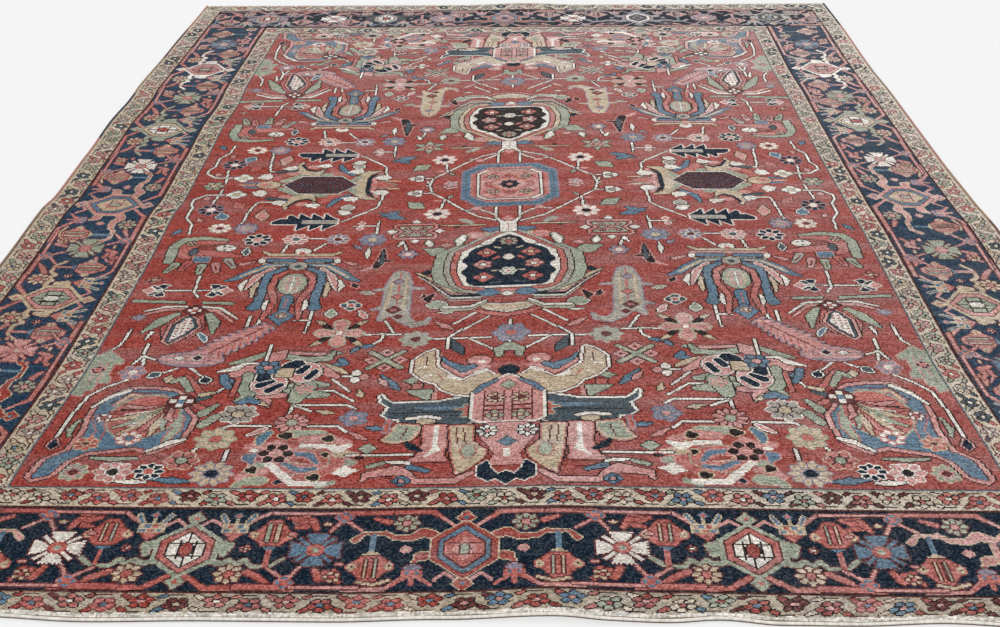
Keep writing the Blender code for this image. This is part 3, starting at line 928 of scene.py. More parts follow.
# Columns: motif, place in the front right quarter, reach, axes folded over, and how much
# wider and longer it came out in the back half
MOTIFS = (
    (white_trefoil, 352, -1115, 50, "", 1, 1),
    (upright_leaf, 290, -740, 190, "", 1, 1),
    (leaf_cluster, 850, -500, 170, "", 1, 1),
    (dark_leaf, 355, -520, 140, "", 1.3, 1.35),
    (cartouche, 271, -346, 110, "uv", 1, 1),
    (serrated_leaf, 595, -280, 130, "", 1, 1),
    (edge_half_motif, 920, -1105, 140, "", 1, 1),
    (feathered_leaf, 700, -990, 190, "", 1, 1),
    (pomegranate, 815, -790, 250, "", 1.1, 1.45),
    (drooping_palmette, 574, -680, 260, "u", 1, 1),
    (four_petals, 418, -917, 100, "uv", 1, 1),
    (cross_flower, 291, -1045, 80, "uv", 1, 1),
    (striped_palmette, 525, -1120, 170, "", 1, 1),
    (cross_palmette, 418, -1455, 170, "", 1, 1),
    (corner_palmette, 793, -1304, 270, "", 1, 1),
)
for motif, x, y, reach, fold, wider, longer in MOTIFS:
    for side, end, spot in quarters(x, y):
        p = Patch(*spot, reach, fold, flip=side, tip=-end)
        if end > 0:
            p.u, p.v = p.u / wider, p.v / longer
        p.u += x * ("u" not in fold)
        p.v += y * ("v" not in fold)
        (BACK_MOTIFS.get(motif, motif) if end > 0 else motif)(p)
for x, y, flip in ((760, -698, 1), (903, -700, -1)):
    for side, end, spot in quarters(x, y):
        waisted_flower(Patch(*spot, 60, flip=side * flip, tip=-end))
for side in (-1, 1):
    hexagon_palmette(Patch(*quarter(590, -14, side, -1), 260, "v", 0.0, side, 1))
for end in (-1, 1):
    Patch(*quarter(3, -935, 1, end), 70).bloom("lavender", "blue", "coral", 0, 0, 45, 6)
    p = Patch(*quarter(0, -1290, 0, end), 360, "u", 0.0, 1, -end)
    p.v -= 1290
    great_palmette(p)
    p = Patch(*quarter(AXIS, -540, 1, end), 370, "u", 0.0, 1, -end)
    p.v -= 540
    lower_shield(p, *(("navy", "grey") if end < 0 else ("dark", "camel")))
    neck(p)
octagon(Patch(*quarter(AXIS, -26, 1, -1), 190, "uv"))

# ---- Chart: the main border -------------------------------------------------------
# On navy ground, flowers seen from above take turns with cells that hold a creature
# between two tulips, all between a rose and a red ribbon.
OUTER_GUARD, MAIN_BORDER, INNER_GUARD = 20, 67, 18      # widths in knots
column, row = np.arange(COLUMNS)[None, :], np.arange(ROWS)[:, None]
from_edge = np.minimum(np.minimum(column, COLUMNS - 1 - column), np.minimum(row, ROWS - 1 - row))
FIELD_FROM = OUTER_GUARD + MAIN_BORDER + INNER_GUARD
chart[from_edge < FIELD_FROM] = DYE["beige"]
# The front end's outer guard is darker: partly dirt, partly painted shade where the light falls off towards
# the front edge.
chart[:OUTER_GUARD] = DYE["shaded_dirty_beige"]
main_border = (from_edge < OUTER_GUARD + MAIN_BORDER) & (from_edge >= OUTER_GUARD)
chart[main_border] = DYE["navy"]

SIDES = {"right": 90, "left": 270, "front": 0, "back": 180}      # turned by, in degrees


def border_spot(side, along, depth):
    """The point that lies along a side of the cloth and a depth in from its edge."""
    half_x, half_y = 500 * CLOTH_WIDTH - depth, 500 * CLOTH_LENGTH - depth
    return {"front": (along, -half_y), "back": (along, half_y),
            "left": (-half_x, along), "right": (half_x, along)}[side]


def border_rosette(p, petal, parting, heart):
    """Four broad notched petals and four narrow ones crosswise, round a heart; a floret
    on the ribbons above and one below, each on two stems, and leaves between them."""
    for way in (-1, 1):
        for dyes, route in (("rose maroon", ((-44, 106, 4), (90, 106, 4))),
                            ("coral maroon", ((-44, 107, 6), (-130, 107, 6))),
                            ("rose maroon", ((-22, 52, 3), (-42, 88, 3.5), (-80, 56, 3))),
                            ("coral maroon", ((6, 58, 5), (18, 82, 9), (40, 80, 5), (54, 90, 5))),
                            ("coral maroon", ((26, 66, 6), (44, 62, 5)))):
            p.band(dyes, *[(u * way, v * way, half) for u, v, half in route])
        p.bloom("blue", "coral", "coral", -44 * way, 94 * way, 16, 4)
        p.oval("rose maroon", 50 * way, 42 * way, 8, 5)
    p.oval("camel maroon", -12, 74, 8, 5)
    p.bloom("camel", "maroon", "coral", -40, -78, 15, 5)
    u, v = np.abs(p.u), np.abs(p.v + 2)
    r = np.hypot(u, v)
    low, high = np.minimum(u, v), np.maximum(u, v)
    p.tie(parting, (np.abs(high - low) < 10) & (r < 50) & (r > 12))
    p.tie(petal, (np.abs(high - low) < 5.5) & (r < 47) & (r > 18))
    broad = (low < 5 + 0.36 * high) & (high < 48 - 3 * (low % 7 < 3)) & (high > 15)
    p.tie(petal + " " + parting, broad & (np.abs(high - low) > 11))
    p.tie("coral", r < 17)
    p.tie(heart, r < 7)


def tulip(p, u, v, way, stem_dye, stripe):
    """A striped tulip head with side petals on a straight stem; way is 1 for one that
    stands upright."""
    p.band(stem_dye, (u, v - way * 30, 5), (u, v - way * 92, 5))
    p.lozenge("blue" if stem_dye == "coral" else "camel", u, v - way * 34, 20, 14)
    p.shape("coral maroon", (u - 10, v + way * 42), (u + 10, v + way * 42), (u + 24, v + way * 20),
            (u + 42, v - way * 2), (u + 18, v - way * 32), (u - 18, v - way * 32),
            (u - 42, v - way * 2), (u - 24, v + way * 20))
    for du in (-34, 34):
        p.oval("camel coral", u + du, v - way * 2, 8, 10)
        p.oval("maroon", u + du, v - way * 2, 2, 3)
    for du, dye in ((-9, stripe), (9, "camel"), (0, "coral")):
        p.box(dye + " maroon", u + du, v + way * 3, 2.6, 27)


def hexagon_body(p, dyes, half, top, high, low, foot):
    """The right half of an upright hexagon, pointed at the top and at the foot."""
    p.shape(dyes, (0, top), (half, high), (half, low), (0, foot))


def hexagon_cell(p, ring, inner, heart, band):
    """A creature with a latticed hexagon for its body between two upright tulips, under
    two small crowns; the ribbon above is rose, the one below is red."""
    p.band("rose maroon", (300, 106, 4), (135, 106, 4), (104, 78, 4))
    p.band("coral maroon", (300, -110, 6), (54, -111, 6), (16, -78, 5))
    p.band("rose", (54, 66, 4), (32, 84, 4), (14, 66, 4))
    p.band(band + " maroon", (46, -36, 7), (72, -44, 7), (84, -34, 7), (100, -46, 5), (112, -32, 6),
           (126, -50, 5), (160, -50, 4), (182, -28, 5))
    p.band(band + " maroon", (52, 14, 9), (72, 8, 13), (70, -16, 8))
    for v in (88, -94):
        p.lozenge(band + " maroon", 0, v, 18, 22)
        p.lozenge("coral", 0, v, 6, 8)
    hexagon_body(p, band, 60, 78, 28, -34, -86)
    hexagon_body(p, "maroon", 50, 66, 24, -30, -74)
    hexagon_body(p, ring, 47, 62, 22, -28, -70)
    hexagon_body(p, inner + " dark", 32, 46, 14, -22, -54)
    p.box("dark", 15, -4, 1.8, 27)
    for v in (14, -22):
        p.box("dark", 0, v, 32, 1.8)
    for v in (30, -38):
        p.box("dark", 0, v, 1.8, 14)
    p.oval(heart + " dark", 0, -4, 11, 19)
    p.shape("coral maroon", (56, 48), (100, 48), (78, 22))
    p.box("camel", 78, 60, 25, 15)
    for u, v, dye in ((62, 52, "blue"), (78, 52, "coral"), (94, 52, "blue"), (70, 64, "coral"),
                      (86, 64, "blue")):
        p.box(dye, u, v, 5, 5)
    for u, lean in ((58, -10), (98, 10)):
        p.band("blue camel", (u, 76, 3), (u + lean, 98, 3))
    p.band("camel", (78, 74, 4), (78, 88, 4))
    p.lozenge("coral blue", 78, 98, 7, 7)
    tulip(p, 152, 42, 1, "coral", "sage")
    p.bloom("camel", "maroon", "coral", 90, -72, 27, 8)
    p.band("coral maroon", (122, -66, 7), (150, -84, 7), (166, -98, 3))
    p.bloom("rose", "maroon", "ivory", 108, 0, 9, 5)
    p.band("rose", (186, 78, 3), (212, 62, 3), (226, 70, 5))
    p.band("coral maroon", (176, 92, 4), (196, 88, 8), (214, 96, 4))


def framed_cell(p, frame, inner, body):
    """A creature in a camel line with a framed hexagon for its body, between two
    hanging tulips; the ribbon above is red, the one below is rose."""
    p.band("coral maroon", (330, 107, 6), (64, 108, 6), (40, 84, 4))
    p.band("rose", (44, 88, 4), (22, 66, 4))
    p.band("rose maroon", (330, -112, 4), (140, -112, 4), (104, -78, 4))
    p.band("rose", (52, -92, 4), (32, -70, 4), (14, -88, 4))
    p.band(body + " camel", (52, 34, 9), (78, 46, 11), (100, 30, 8), (132, 32, 5), (150, 46, 4),
           (190, 46, 3), (206, 26, 6))
    p.band(body + " camel", (50, -22, 9), (80, -24, 10), (90, -38, 3))
    for v in (90, -100):
        p.lozenge(body + " camel", 0, v, 18, 20)
        p.lozenge("blue", 0, v, 6, 7)
    hexagon_body(p, body + " camel", 62, 80, 26, -32, -88)
    hexagon_body(p, frame + " maroon", 48, 66, 22, -28, -74)
    hexagon_body(p, "maroon", 38, 54, 18, -22, -60)
    hexagon_body(p, inner, 35, 50, 16, -20, -56)
    p.lozenge("rose", 0, -3, 24, 34)
    for v in (12, -18):
        p.band("maroon", (0, v, 1.6), (30, v * 1.1, 1.6))
    p.oval("sage maroon", 0, -3, 9, 15)
    p.oval("lavender maroon", 92, -56, 17, 9)
    p.box("coral", 92, -74, 19, 12)
    for u in (82, 102):
        p.box("blue", u, -70, 4, 4)
    for u in (80, 92, 104):
        p.band("coral", (u, -84, 4), (u + 1.8 * (u - 92), -102, 4))
    tulip(p, 170, -52, -1, "blue", "sage")
    p.bloom("sage", "maroon", "rose", 112, 74, 26, 8)
    p.band("coral maroon", (146, 78, 7), (172, 90, 4))
    p.bloom("rose", "rose", "camel", 108, -4, 9, 5)
    p.band("camel maroon", (132, -88, 3), (160, -100, 4), (188, -92, 3))


def corner_cell(p):
    """A hanging tulip between two florets, for the short runs next to the corners."""
    p.band("coral maroon", (130, 107, 5), (-130, 107, 5))
    p.band("rose maroon", (110, -110, 4), (-110, -110, 4))
    tulip(p, 0, -36, -1, "blue", "sage")
    p.band("rose", (-20, 62, 4), (0, 78, 6), (36, 62, 4), (58, 84, 5))
    for u, v in ((-62, 66), (66, -66)):
        p.bloom("camel", "maroon", "coral", u, v, 24, 8)
        p.band("coral maroon", (u, -v, 7), (u * 1.5, -v * 0.6, 4))


CELL_DYES = {"hexagon": ("coral", "ivory", "madder", "sage"), "ivory": ("rose", "coral", "grey", "ivory"),
             "ring": ("camel", "ivory", "madder", "sage"), "green": ("rose", "sage", "ivory", "camel"),
             "grey": ("sage", "grey", "blue", "camel"), "pink": ("camel", "coral", "ivory", "rose"),
             "red": ("blue", "coral", "madder"), "rose": ("blue", "camel", "rose"),
             "pale": ("ivory", "sage", "rose")}
ROSETTE_DYES = {"white": ("ivory", "maroon", "sage"), "azure": ("blue", "maroon", "sage"),
                "coral": ("rose", "maroon", "camel"), "leafy": ("sage", "maroon", "rose"),
                "lilac": ("lavender", "coral", "ivory")}
# What stands along each side: place, kind, stretch along the side. The long sides come
# first, because the corners belong to the ends.
STATIONS = {
    "left": ((1540, "tulip", 1.0), (1092, "ivory", 1.25), (450, "ring", 1.25), (-167, "rose", 1.2),
             (-750, "green", 1.15), (-1292, "red", 1.1), (1404, "azure", 1.2), (771, "leafy", 1.3),
             (129, "white", 1.2), (-458, "leafy", 1.2), (-1012, "coral", 1.1), (-1566, "white", 1.0)),
    "right": ((1545, "tulip", 1.0), (1062, "ivory", 1.25), (498, "ring", 1.2), (-136, "rose", 1.2),
              (-798, "green", 1.2), (-1370, "hexagon", 1.1), (1371, "azure", 1.25), (752, "leafy", 1.25),
              (155, "white", 1.2), (-488, "leafy", 1.2), (-1090, "azure", 1.1)),
    "front": ((-1100, "rose", 1.0), (-586, "hexagon", 1.0), (-72, "red", 1.0), (443, "hexagon", 1.0),
              (940, "rose", 1.0), (-818, "white", 1.0), (-348, "azure", 1.0), (212, "white", 1.0),
              (673, "azure", 1.0), (1208, "white", 1.0)),
    "back": ((-1055, "pink", 1.0), (-561, "ring", 1.0), (-50, "red", 1.1), (505, "pale", 1.0),
             (1074, "grey", 1.05), (-1262, "tulip", 1.0), (1268, "tulip", 1.0), (-779, "white", 1.1),
             (-318, "lilac", 1.1), (237, "white", 1.1), (787, "lilac", 1.1)),
}
CELL_REACH, CORNER_CELL_REACH = 216, 130
END_ROWS = OUTER_GUARD + MAIN_BORDER + 1      # rows that belong to an end's border
FRONT_LEFT_END = -1230      # left of here only the ribbons of the front border go on
RIBBONS_FROM = 98           # how far from the border's middle they lie
plain = chart.copy()
corner = np.minimum(row, ROWS - 1 - row) < OUTER_GUARD + MAIN_BORDER
for side, along, kind, stretch in [(side, *station) for side in STATIONS for station in STATIONS[side]]:
    spot = border_spot(side, along, (OUTER_GUARD + MAIN_BORDER / 2) * KNOT)
    p = Patch(*spot, 300, turn=np.radians(SIDES[side]))
    band = np.abs(p.v) < (MAIN_BORDER / 2 - 1) * KNOT
    if side == "front":
        band &= (p.u + along > FRONT_LEFT_END) | (np.abs(p.v) > RIBBONS_FROM)
    p.u /= stretch
    keep = p.knots.copy()
    if kind == "tulip":
        band &= np.abs(p.u) < CORNER_CELL_REACH
        corner_cell(p)
    elif kind in CELL_DYES:
        p.u = np.abs(p.u)
        band &= p.u < CELL_REACH
        cell = hexagon_cell if len(CELL_DYES[kind]) == 4 else framed_cell
        cell(p, *CELL_DYES[kind])
    else:
        p.u *= -1 if kind in ("azure", "lilac") else 1
        border_rosette(p, *ROSETTE_DYES[kind])
    p.knots[~band] = keep[~band]
    outside = ~main_border | (corner & (side in ("left", "right")))
    chart[outside] = plain[outside]
# A rose ribbon closes the front border at each corner.
for way in (-1, 1):
    p = Patch(way * 1263, -1735, 130)
    p.box("rose maroon", 0, 0, 4, 114)
    p.box("rose maroon", way * -22, -112, 26, 4)

# On the long sides and at the back the coral, and on the long sides the navy, are painted paler:
# painted sheen. At the back duller ones took the place of the light ones.
away = (from_edge < FIELD_FROM) & (row > END_ROWS)
far = main_border & (row >= ROWS - END_ROWS)
chart[away & (chart == DYE["coral"])] = DYE["sheened_coral"]
chart[away & (chart == DYE["navy"]) & (row < ROWS - END_ROWS)] = DYE["indigo"]
for light, dull in (("rose", "lavender"), ("camel", "grey"), ("beige", "grey"), ("sage", "slate")):
    chart[far & (chart == DYE[light])] = DYE[dull]

# ---- Chart: the guards and the lines between them ---------------------------------
# Narrow stripes on both sides of the main border, each with a row of small flowers that
# lie above and below its middle by turns.
def guard_flower(p, dyes, leaf, way, size):
    """Five round petals in thin lines round a small heart, off the guard's middle to one
    side (way), and two leaves next to it."""
    petal, line, heart = dyes
    p.u, p.v = p.u / size, way * p.v / size
    for angle in 2 * np.pi * (np.arange(5) + 0.25) / 5:
        p.oval(petal + " " + line, 15 * np.cos(angle), 5 + 14 * np.sin(angle), 7.5, 6.5)
    p.oval(heart, 0, 5, 6, 5)
    p.band(leaf + " " + line, (29, -24, 3), (40, -16, 6))
    p.band(line, (-20, -25, 1.8), (6, -25, 1.8))
    p.band(leaf + " " + line, (30, 18, 4), (38, 22, 4))


STRONG = (("maroon", "dark", "camel"), ("madder", "dark", "rose"), ("coral", "dark", "ivory"),
          ("maroon", "dark", "rose"), ("blue", "dark", "rose"), ("beige", "dark", "madder"),
          ("coral", "maroon", "blue"), ("madder", "dark", "blue"), ("sage", "dark", "madder"))
FAINT = (("rose", "dark", "sage"), ("grey", "maroon", "ivory"), ("coral", "maroon", "ivory"),
         ("sage", "dark", "rose"), ("slate", "dark", "ivory"), ("camel", "dark", "blue"))
FLOWER_PITCH = 3.1          # from one flower to the next, in widths of the guard
FLOWER_GUARD = 20           # the guard that guard_flower is drawn for, in knots
rng = np.random.default_rng(7)
plain = chart.copy()
for outermost, width in ((0, OUTER_GUARD), (OUTER_GUARD + MAIN_BORDER, INNER_GUARD)):
    for side, degrees in SIDES.items():
        half = 500 * (CLOTH_LENGTH if degrees % 180 else CLOTH_WIDTH) - outermost * KNOT
        half -= width * KNOT * (degrees % 180 > 0)
        count = int(2 * half / (width * FLOWER_PITCH))
        for number in range(count):
            along = -half + (number + 0.5) * 2 * half / count + rng.uniform(-3, 3)
            dyes = STRONG if side == "front" else FAINT
            spot = border_spot(side, along, (outermost + width / 2 + 0.5) * KNOT)
            p = Patch(*spot, 62, "", np.radians(degrees))
            leaf = dyes[rng.integers(len(dyes))][0]
            flower = dyes[rng.integers(len(dyes))]
            guard_flower(p, flower, leaf, 1 if number % 2 else -1, width / FLOWER_GUARD)
beyond = main_border | (from_edge >= FIELD_FROM)
chart[beyond] = plain[beyond]

for start, dyes in ((OUTER_GUARD - 1, "maroon dark"),
                    (OUTER_GUARD + MAIN_BORDER - 1, "dark maroon"),
                    (FIELD_FROM - 1, "grey slate")):
    for step, dye in enumerate(dyes.split()):
        chart[from_edge == start + step] = DYE[dye]
chart[from_edge == 0] = DYE["beige"]
# Overcasting of the front end over the first rows, and here and there over one more
stitches = 2 + (rng.random(COLUMNS // 3 + 1) < 0.5).repeat(3)[:COLUMNS]
chart[:4][row[:4] < stitches[None, :]] = DYE["ivory"]

# ---- Knotted pile -----------------------------------------------------------------
# The wool tufts that the knots of the chart form, clipped short and worn down.
# Six lengthwise strips meet knot to knot. Each strip's mesh follows the edges of the
# dyed shapes, so that every change of colour in the chart is a line of the surface.
PILE_STRIPS = 6
SHEET_COLUMNS = 25          # a line of points at least every so many knots
RIM_DROP = 0.0018           # how much lower the pile stands at its outermost edge
RIM_KNOTS = 1.5             # and how far in it reaches full height
FOUNDATION_TOP = 0.0059     # where the tufts leave the foundation
HAND_WOBBLE = 0.00045       # how far a corner of a knot strays from its place

# How the weaving drew the plan out of true, in metres.
# Columns: place across the carpet, how far the cloth there was drawn to the right
COLUMN_DRIFT = ((-1.37, 0.000), (-1.28, 0.002), (-1.04, 0.007), (-0.97, 0.0105), (-0.55, 0.018),
                (0.00, 0.010), (0.55, 0.019), (0.97, 0.0135), (1.04, 0.009), (1.28, 0.006), (1.37, 0.000))
# Columns: place along the carpet, how far the rows there were beaten forward (-)
ROW_DRIFT = ((-1.95, 0.000), (-1.86, -0.006), (-1.55, -0.005), (0.00, -0.010), (1.55, -0.026),
             (1.62, -0.020), (1.86, -0.012), (1.95, 0.000))
FIELD_SPREAD = 0.023        # how much further apart the field's sides stand in front
SPREAD_FROM = -1.02         # in front of this place they begin to draw apart
SPREAD_RUN = 0.50           # and over this length they do so
FIELD_SIDE = 0.97           # where they stand, from the middle
CLIMB_HALF = 0.50           # how far from the middle a row has climbed fully
SPREAD_SIDE, CLIMB_SIDE = 1.30, 1.36      # where the spread and the climb have died out
SIDE_RUN = 0.30             # and over what width they do so
SHORT_RUN = 3.9             # the length over which the drift below dies out
# Columns: place along the carpet, how far the rows there climb to the right
SKEW = ((-1.60, 0.000), (-1.50, 0.004), (-1.10, 0.016), (0.00, 0.017), (1.10, 0.016), (1.50, 0.004),
        (1.60, 0.000))
# Columns: place across the carpet, how far its knots stay short of the front end's swing
FRONT_DRIFT = ((-1.36, 0.0140), (-0.92, 0.0100), (-0.72, 0.0005), (-0.52, 0.0051), (-0.30, 0.0050),
               (-0.10, 0.0061), (0.10, 0.0020), (0.20, -0.0020), (0.30, 0.0009), (0.39, 0.0086),
               (0.50, -0.0008), (0.62, 0.0013), (0.78, 0.0100), (0.95, -0.0013), (1.36, -0.0050))


def drawn_out(x, y):
    """The plan point (x, y) after weaving: columns and rows drift, the field widens
    towards its front end and the middle rows climb to the right."""
    front = np.clip((SPREAD_FROM - y) / SPREAD_RUN, 0, 1)
    spread = FIELD_SPREAD * front ** 2 * (3 - 2 * front)
    side = np.abs(x)
    spread *= np.sign(x) * np.minimum(side / FIELD_SIDE, np.clip((SPREAD_SIDE - side) / SIDE_RUN, 0, 1))
    climb = np.sin(np.pi / 2 * np.clip(x / CLIMB_HALF, -1, 1))
    climb *= np.clip((CLIMB_SIDE - side) / SIDE_RUN, 0, 1)
    short = table_curve(FRONT_DRIFT, x) * np.clip(0.5 - y / SHORT_RUN, 0, 1)
    return (x + table_curve(COLUMN_DRIFT, x) + spread,
            y + table_curve(ROW_DRIFT, y) + table_curve(SKEW, y) * climb - short)


def knot_mesh():
    """The whole pile as triangles. Between two rows of knots there is a strip whose
    points stand only where the dye changes in a row next to them. Walking to the right,
    each new point, first below and then above, closes a triangle with the last two."""
    change = np.zeros((ROWS, COLUMNS + 1), bool)
    change[:, 1:-1] = chart[:, 1:] != chart[:, :-1]
    change[:, ::SHEET_COLUMNS] = True
    stands = np.zeros((ROWS + 1, COLUMNS + 1), bool)
    stands[1:] |= change
    stands[:-1] |= change
    number = np.cumsum(stands).reshape(stands.shape) - 1
    last = np.maximum.accumulate(np.where(stands, number, 0), axis=1)
    low_row, low_column = np.nonzero(stands[:-1, 1:])
    high_row, high_column = np.nonzero(stands[1:, 1:])
    low = np.stack([last[low_row, low_column], number[low_row, low_column + 1],
                    last[low_row + 1, low_column]], axis=1)
    high = np.stack([last[high_row, high_column + 1], number[high_row + 1, high_column + 1],
                     last[high_row + 1, high_column]], axis=1)
    faces = np.concatenate([low, high])
    knot_row = np.concatenate([low_row, high_row])
    knot_column = np.concatenate([low_column, high_column])
    point_row, point_column = np.nonzero(stands)
    return point_row, point_column, faces, knot_row, knot_column


def pile_points(point_row, point_column):
    """Where the corner of the knots stands: laid on the cloth, drawn out by the weaving,
    strayed a little by hand, and lower at the rim."""
    x, y = lie(point_column / COLUMNS, point_row / ROWS)
    inside = np.minimum(np.minimum(point_column, COLUMNS - point_column),
                        np.minimum(point_row, ROWS - point_row))
    drawn_x, drawn_y = drawn_out(x, y)
    share = np.clip(inside / OUTER_GUARD, 0, 1)
    x, y = x + (drawn_x - x) * share, y + (drawn_y - y) * share
    stray = np.random.default_rng(11).uniform(-HAND_WOBBLE, HAND_WOBBLE, (2, len(x)))
    x, y = x + stray[0] * (inside > 0), y + stray[1] * (inside > 0)
    rim = RIM_DROP * (1 - np.clip(inside / RIM_KNOTS, 0, 1)) ** 2
    return np.stack([x, y, swell_height(x, y) + PILE_THICKNESS - rim], axis=1)


def new_mesh(name, points, faces):
    """A mesh object at the origin, from arrays of points and of faces with equally
    many corners."""
    mesh = bpy.data.meshes.new(name)
    corners = faces.shape[1]
    mesh.vertices.add(len(points))
    mesh.vertices.foreach_set("co", points.astype(np.float32).ravel())
    mesh.loops.add(faces.size)
    mesh.loops.foreach_set("vertex_index", faces.astype(np.int32).ravel())
    mesh.polygons.add(len(faces))
    mesh.polygons.foreach_set("loop_start", np.arange(len(faces), dtype=np.int32) * corners)
    mesh.update(calc_edges=True)
    mesh.validate()
    mesh.polygons.foreach_set("use_smooth", np.ones(len(faces), bool))
    piece = bpy.data.objects.new(name, mesh)
    bpy.context.scene.collection.objects.link(piece)
    return piece


def linear(colour):
    """Scene values of an sRGB colour."""
    colour = np.asarray(colour, float)
    return np.where(colour <= 0.04045, colour / 12.92, ((colour + 0.055) / 1.055) ** 2.4)


def bake_layout(across, along, strip_width):
    """A place in the unit square for each corner of a strip: the strip is cut into
    three lengths, which lie side by side."""
    lengths = 3
    part = np.minimum(np.floor(along.reshape(-1, 3).mean(axis=1, keepdims=True) * lengths), lengths - 1)
    part = np.repeat(part, 3, axis=1).ravel()
    margin = 0.004
    u = (part + margin + across / strip_width * (1 - 2 * margin)) / lengths
    v = margin + (along * lengths - part) * (1 - 2 * margin)
    return np.stack([u, v], axis=1)


class Shading:
    """A tree of shader nodes. Each way of adding to it gives an output to go on with,
    and takes links or plain values."""

    def __init__(self, tree):
        self.nodes, self.links = tree.nodes, tree.links

    def add(self, kind, inputs, output=0, **settings):
        """A new node with its settings made and its inputs filled."""
        node = self.nodes.new("ShaderNode" + kind)
        for name, value in settings.items():
            setattr(node, name, value)
        for name, value in inputs.items():
            if isinstance(value, bpy.types.NodeSocket):
                self.links.new(value, node.inputs[name])
            else:
                node.inputs[name].default_value = value
        return node.outputs[output]

    def math(self, operation, *values):
        return self.add("Math", dict(enumerate(values)), operation=operation)

    def ranged(self, value, low, high, to_low, to_high):
        """A value from low to high, moved and stretched to go from to_low to to_high."""
        return self.add("MapRange", {"Value": value, "From Min": low, "From Max": high,
                                     "To Min": to_low, "To Max": to_high}, "Result")

    def toned(self, colour, factor):
        """A colour times a factor."""
        return self.add("VectorMath", {0: colour, "Scale": factor}, operation="SCALE")

    def varied(self, colour, value, *limits):
        """A colour times a value brought between limits, as in ranged."""
        return self.toned(colour, self.ranged(value, *limits))

    def mixed(self, share, colour, other):
        """The first colour going over to the other one by a share."""
        return self.add("Mix", {"Factor": share, "A": colour, "B": other}, "Result", data_type="RGBA")

    def noise(self, place, scale, detail):
        """Noise whose grain is stretched or squeezed along each axis."""
        stretched = self.add("Mapping", {"Vector": place, "Scale": scale}, "Vector")
        return self.add("TexNoise", {"Vector": stretched, "Scale": 1.0, "Detail": detail}, "Fac")


def fibre_group():
    """Spun fibre: lightens and darkens a colour in fine streaks, and gives the height
    of the same streaks."""
    group = bpy.data.node_groups.new("spun fibre", "ShaderNodeTree")
    for name, kind, in_out in (("Colour", "Color", "INPUT"), ("Fineness", "Float", "INPUT"),
                               ("Contrast", "Float", "INPUT"), ("Colour", "Color", "OUTPUT"),
                               ("Height", "Float", "OUTPUT")):
        group.interface.new_socket(name=name, in_out=in_out, socket_type="NodeSocket" + kind)
    tree = Shading(group)
    inside = group.nodes.new("NodeGroupInput").outputs
    outside = group.nodes.new("NodeGroupOutput").inputs
    place = tree.add("TexCoord", {}, "Object")
    grain = {"Vector": place, "Scale": inside["Fineness"], "Detail": 3.0}
    streaks = tree.add("TexNoise", grain, "Fac")
    centred = tree.math("SUBTRACT", streaks, 0.5)
    tone = tree.math("MULTIPLY_ADD", centred, inside["Contrast"], 1.0)
    group.links.new(tree.toned(inside["Colour"], tone), outside["Colour"])
    group.links.new(streaks, outside["Height"])
    return group


spun_fibre = fibre_group()


def plain_material(name, roughness, specular, sheen=0.0):
    """A new material with the values that are the same all over it. Gives the material,
    its shading and its shader's inputs."""
    material = bpy.data.materials.new(name)
    material.use_nodes = True
    inputs = material.node_tree.nodes["Principled BSDF"].inputs
    inputs["Roughness"].default_value = roughness
    inputs["Specular IOR Level"].default_value = specular
    inputs["Sheen Weight"].default_value = sheen
    return material, Shading(material.node_tree), inputs


def spun(tree, shader, colour, fineness, contrast):
    """Gives a material its colour, spun of fibre; returns the fibres' height."""
    fibre = tree.nodes.new("ShaderNodeGroup")
    fibre.node_tree = spun_fibre
    fibre.inputs["Fineness"].default_value = fineness
    fibre.inputs["Contrast"].default_value = contrast
    tree.links.new(colour, fibre.inputs["Colour"])
    tree.links.new(fibre.outputs["Colour"], shader["Base Color"])
    return fibre.outputs["Height"]


def raised(tree, shader, height, strength, distance):
    """Gives a material its relief."""
    bump = {"Strength": strength, "Distance": distance, "Height": height}
    tree.links.new(tree.add("Bump", bump, "Normal"), shader["Normal"])


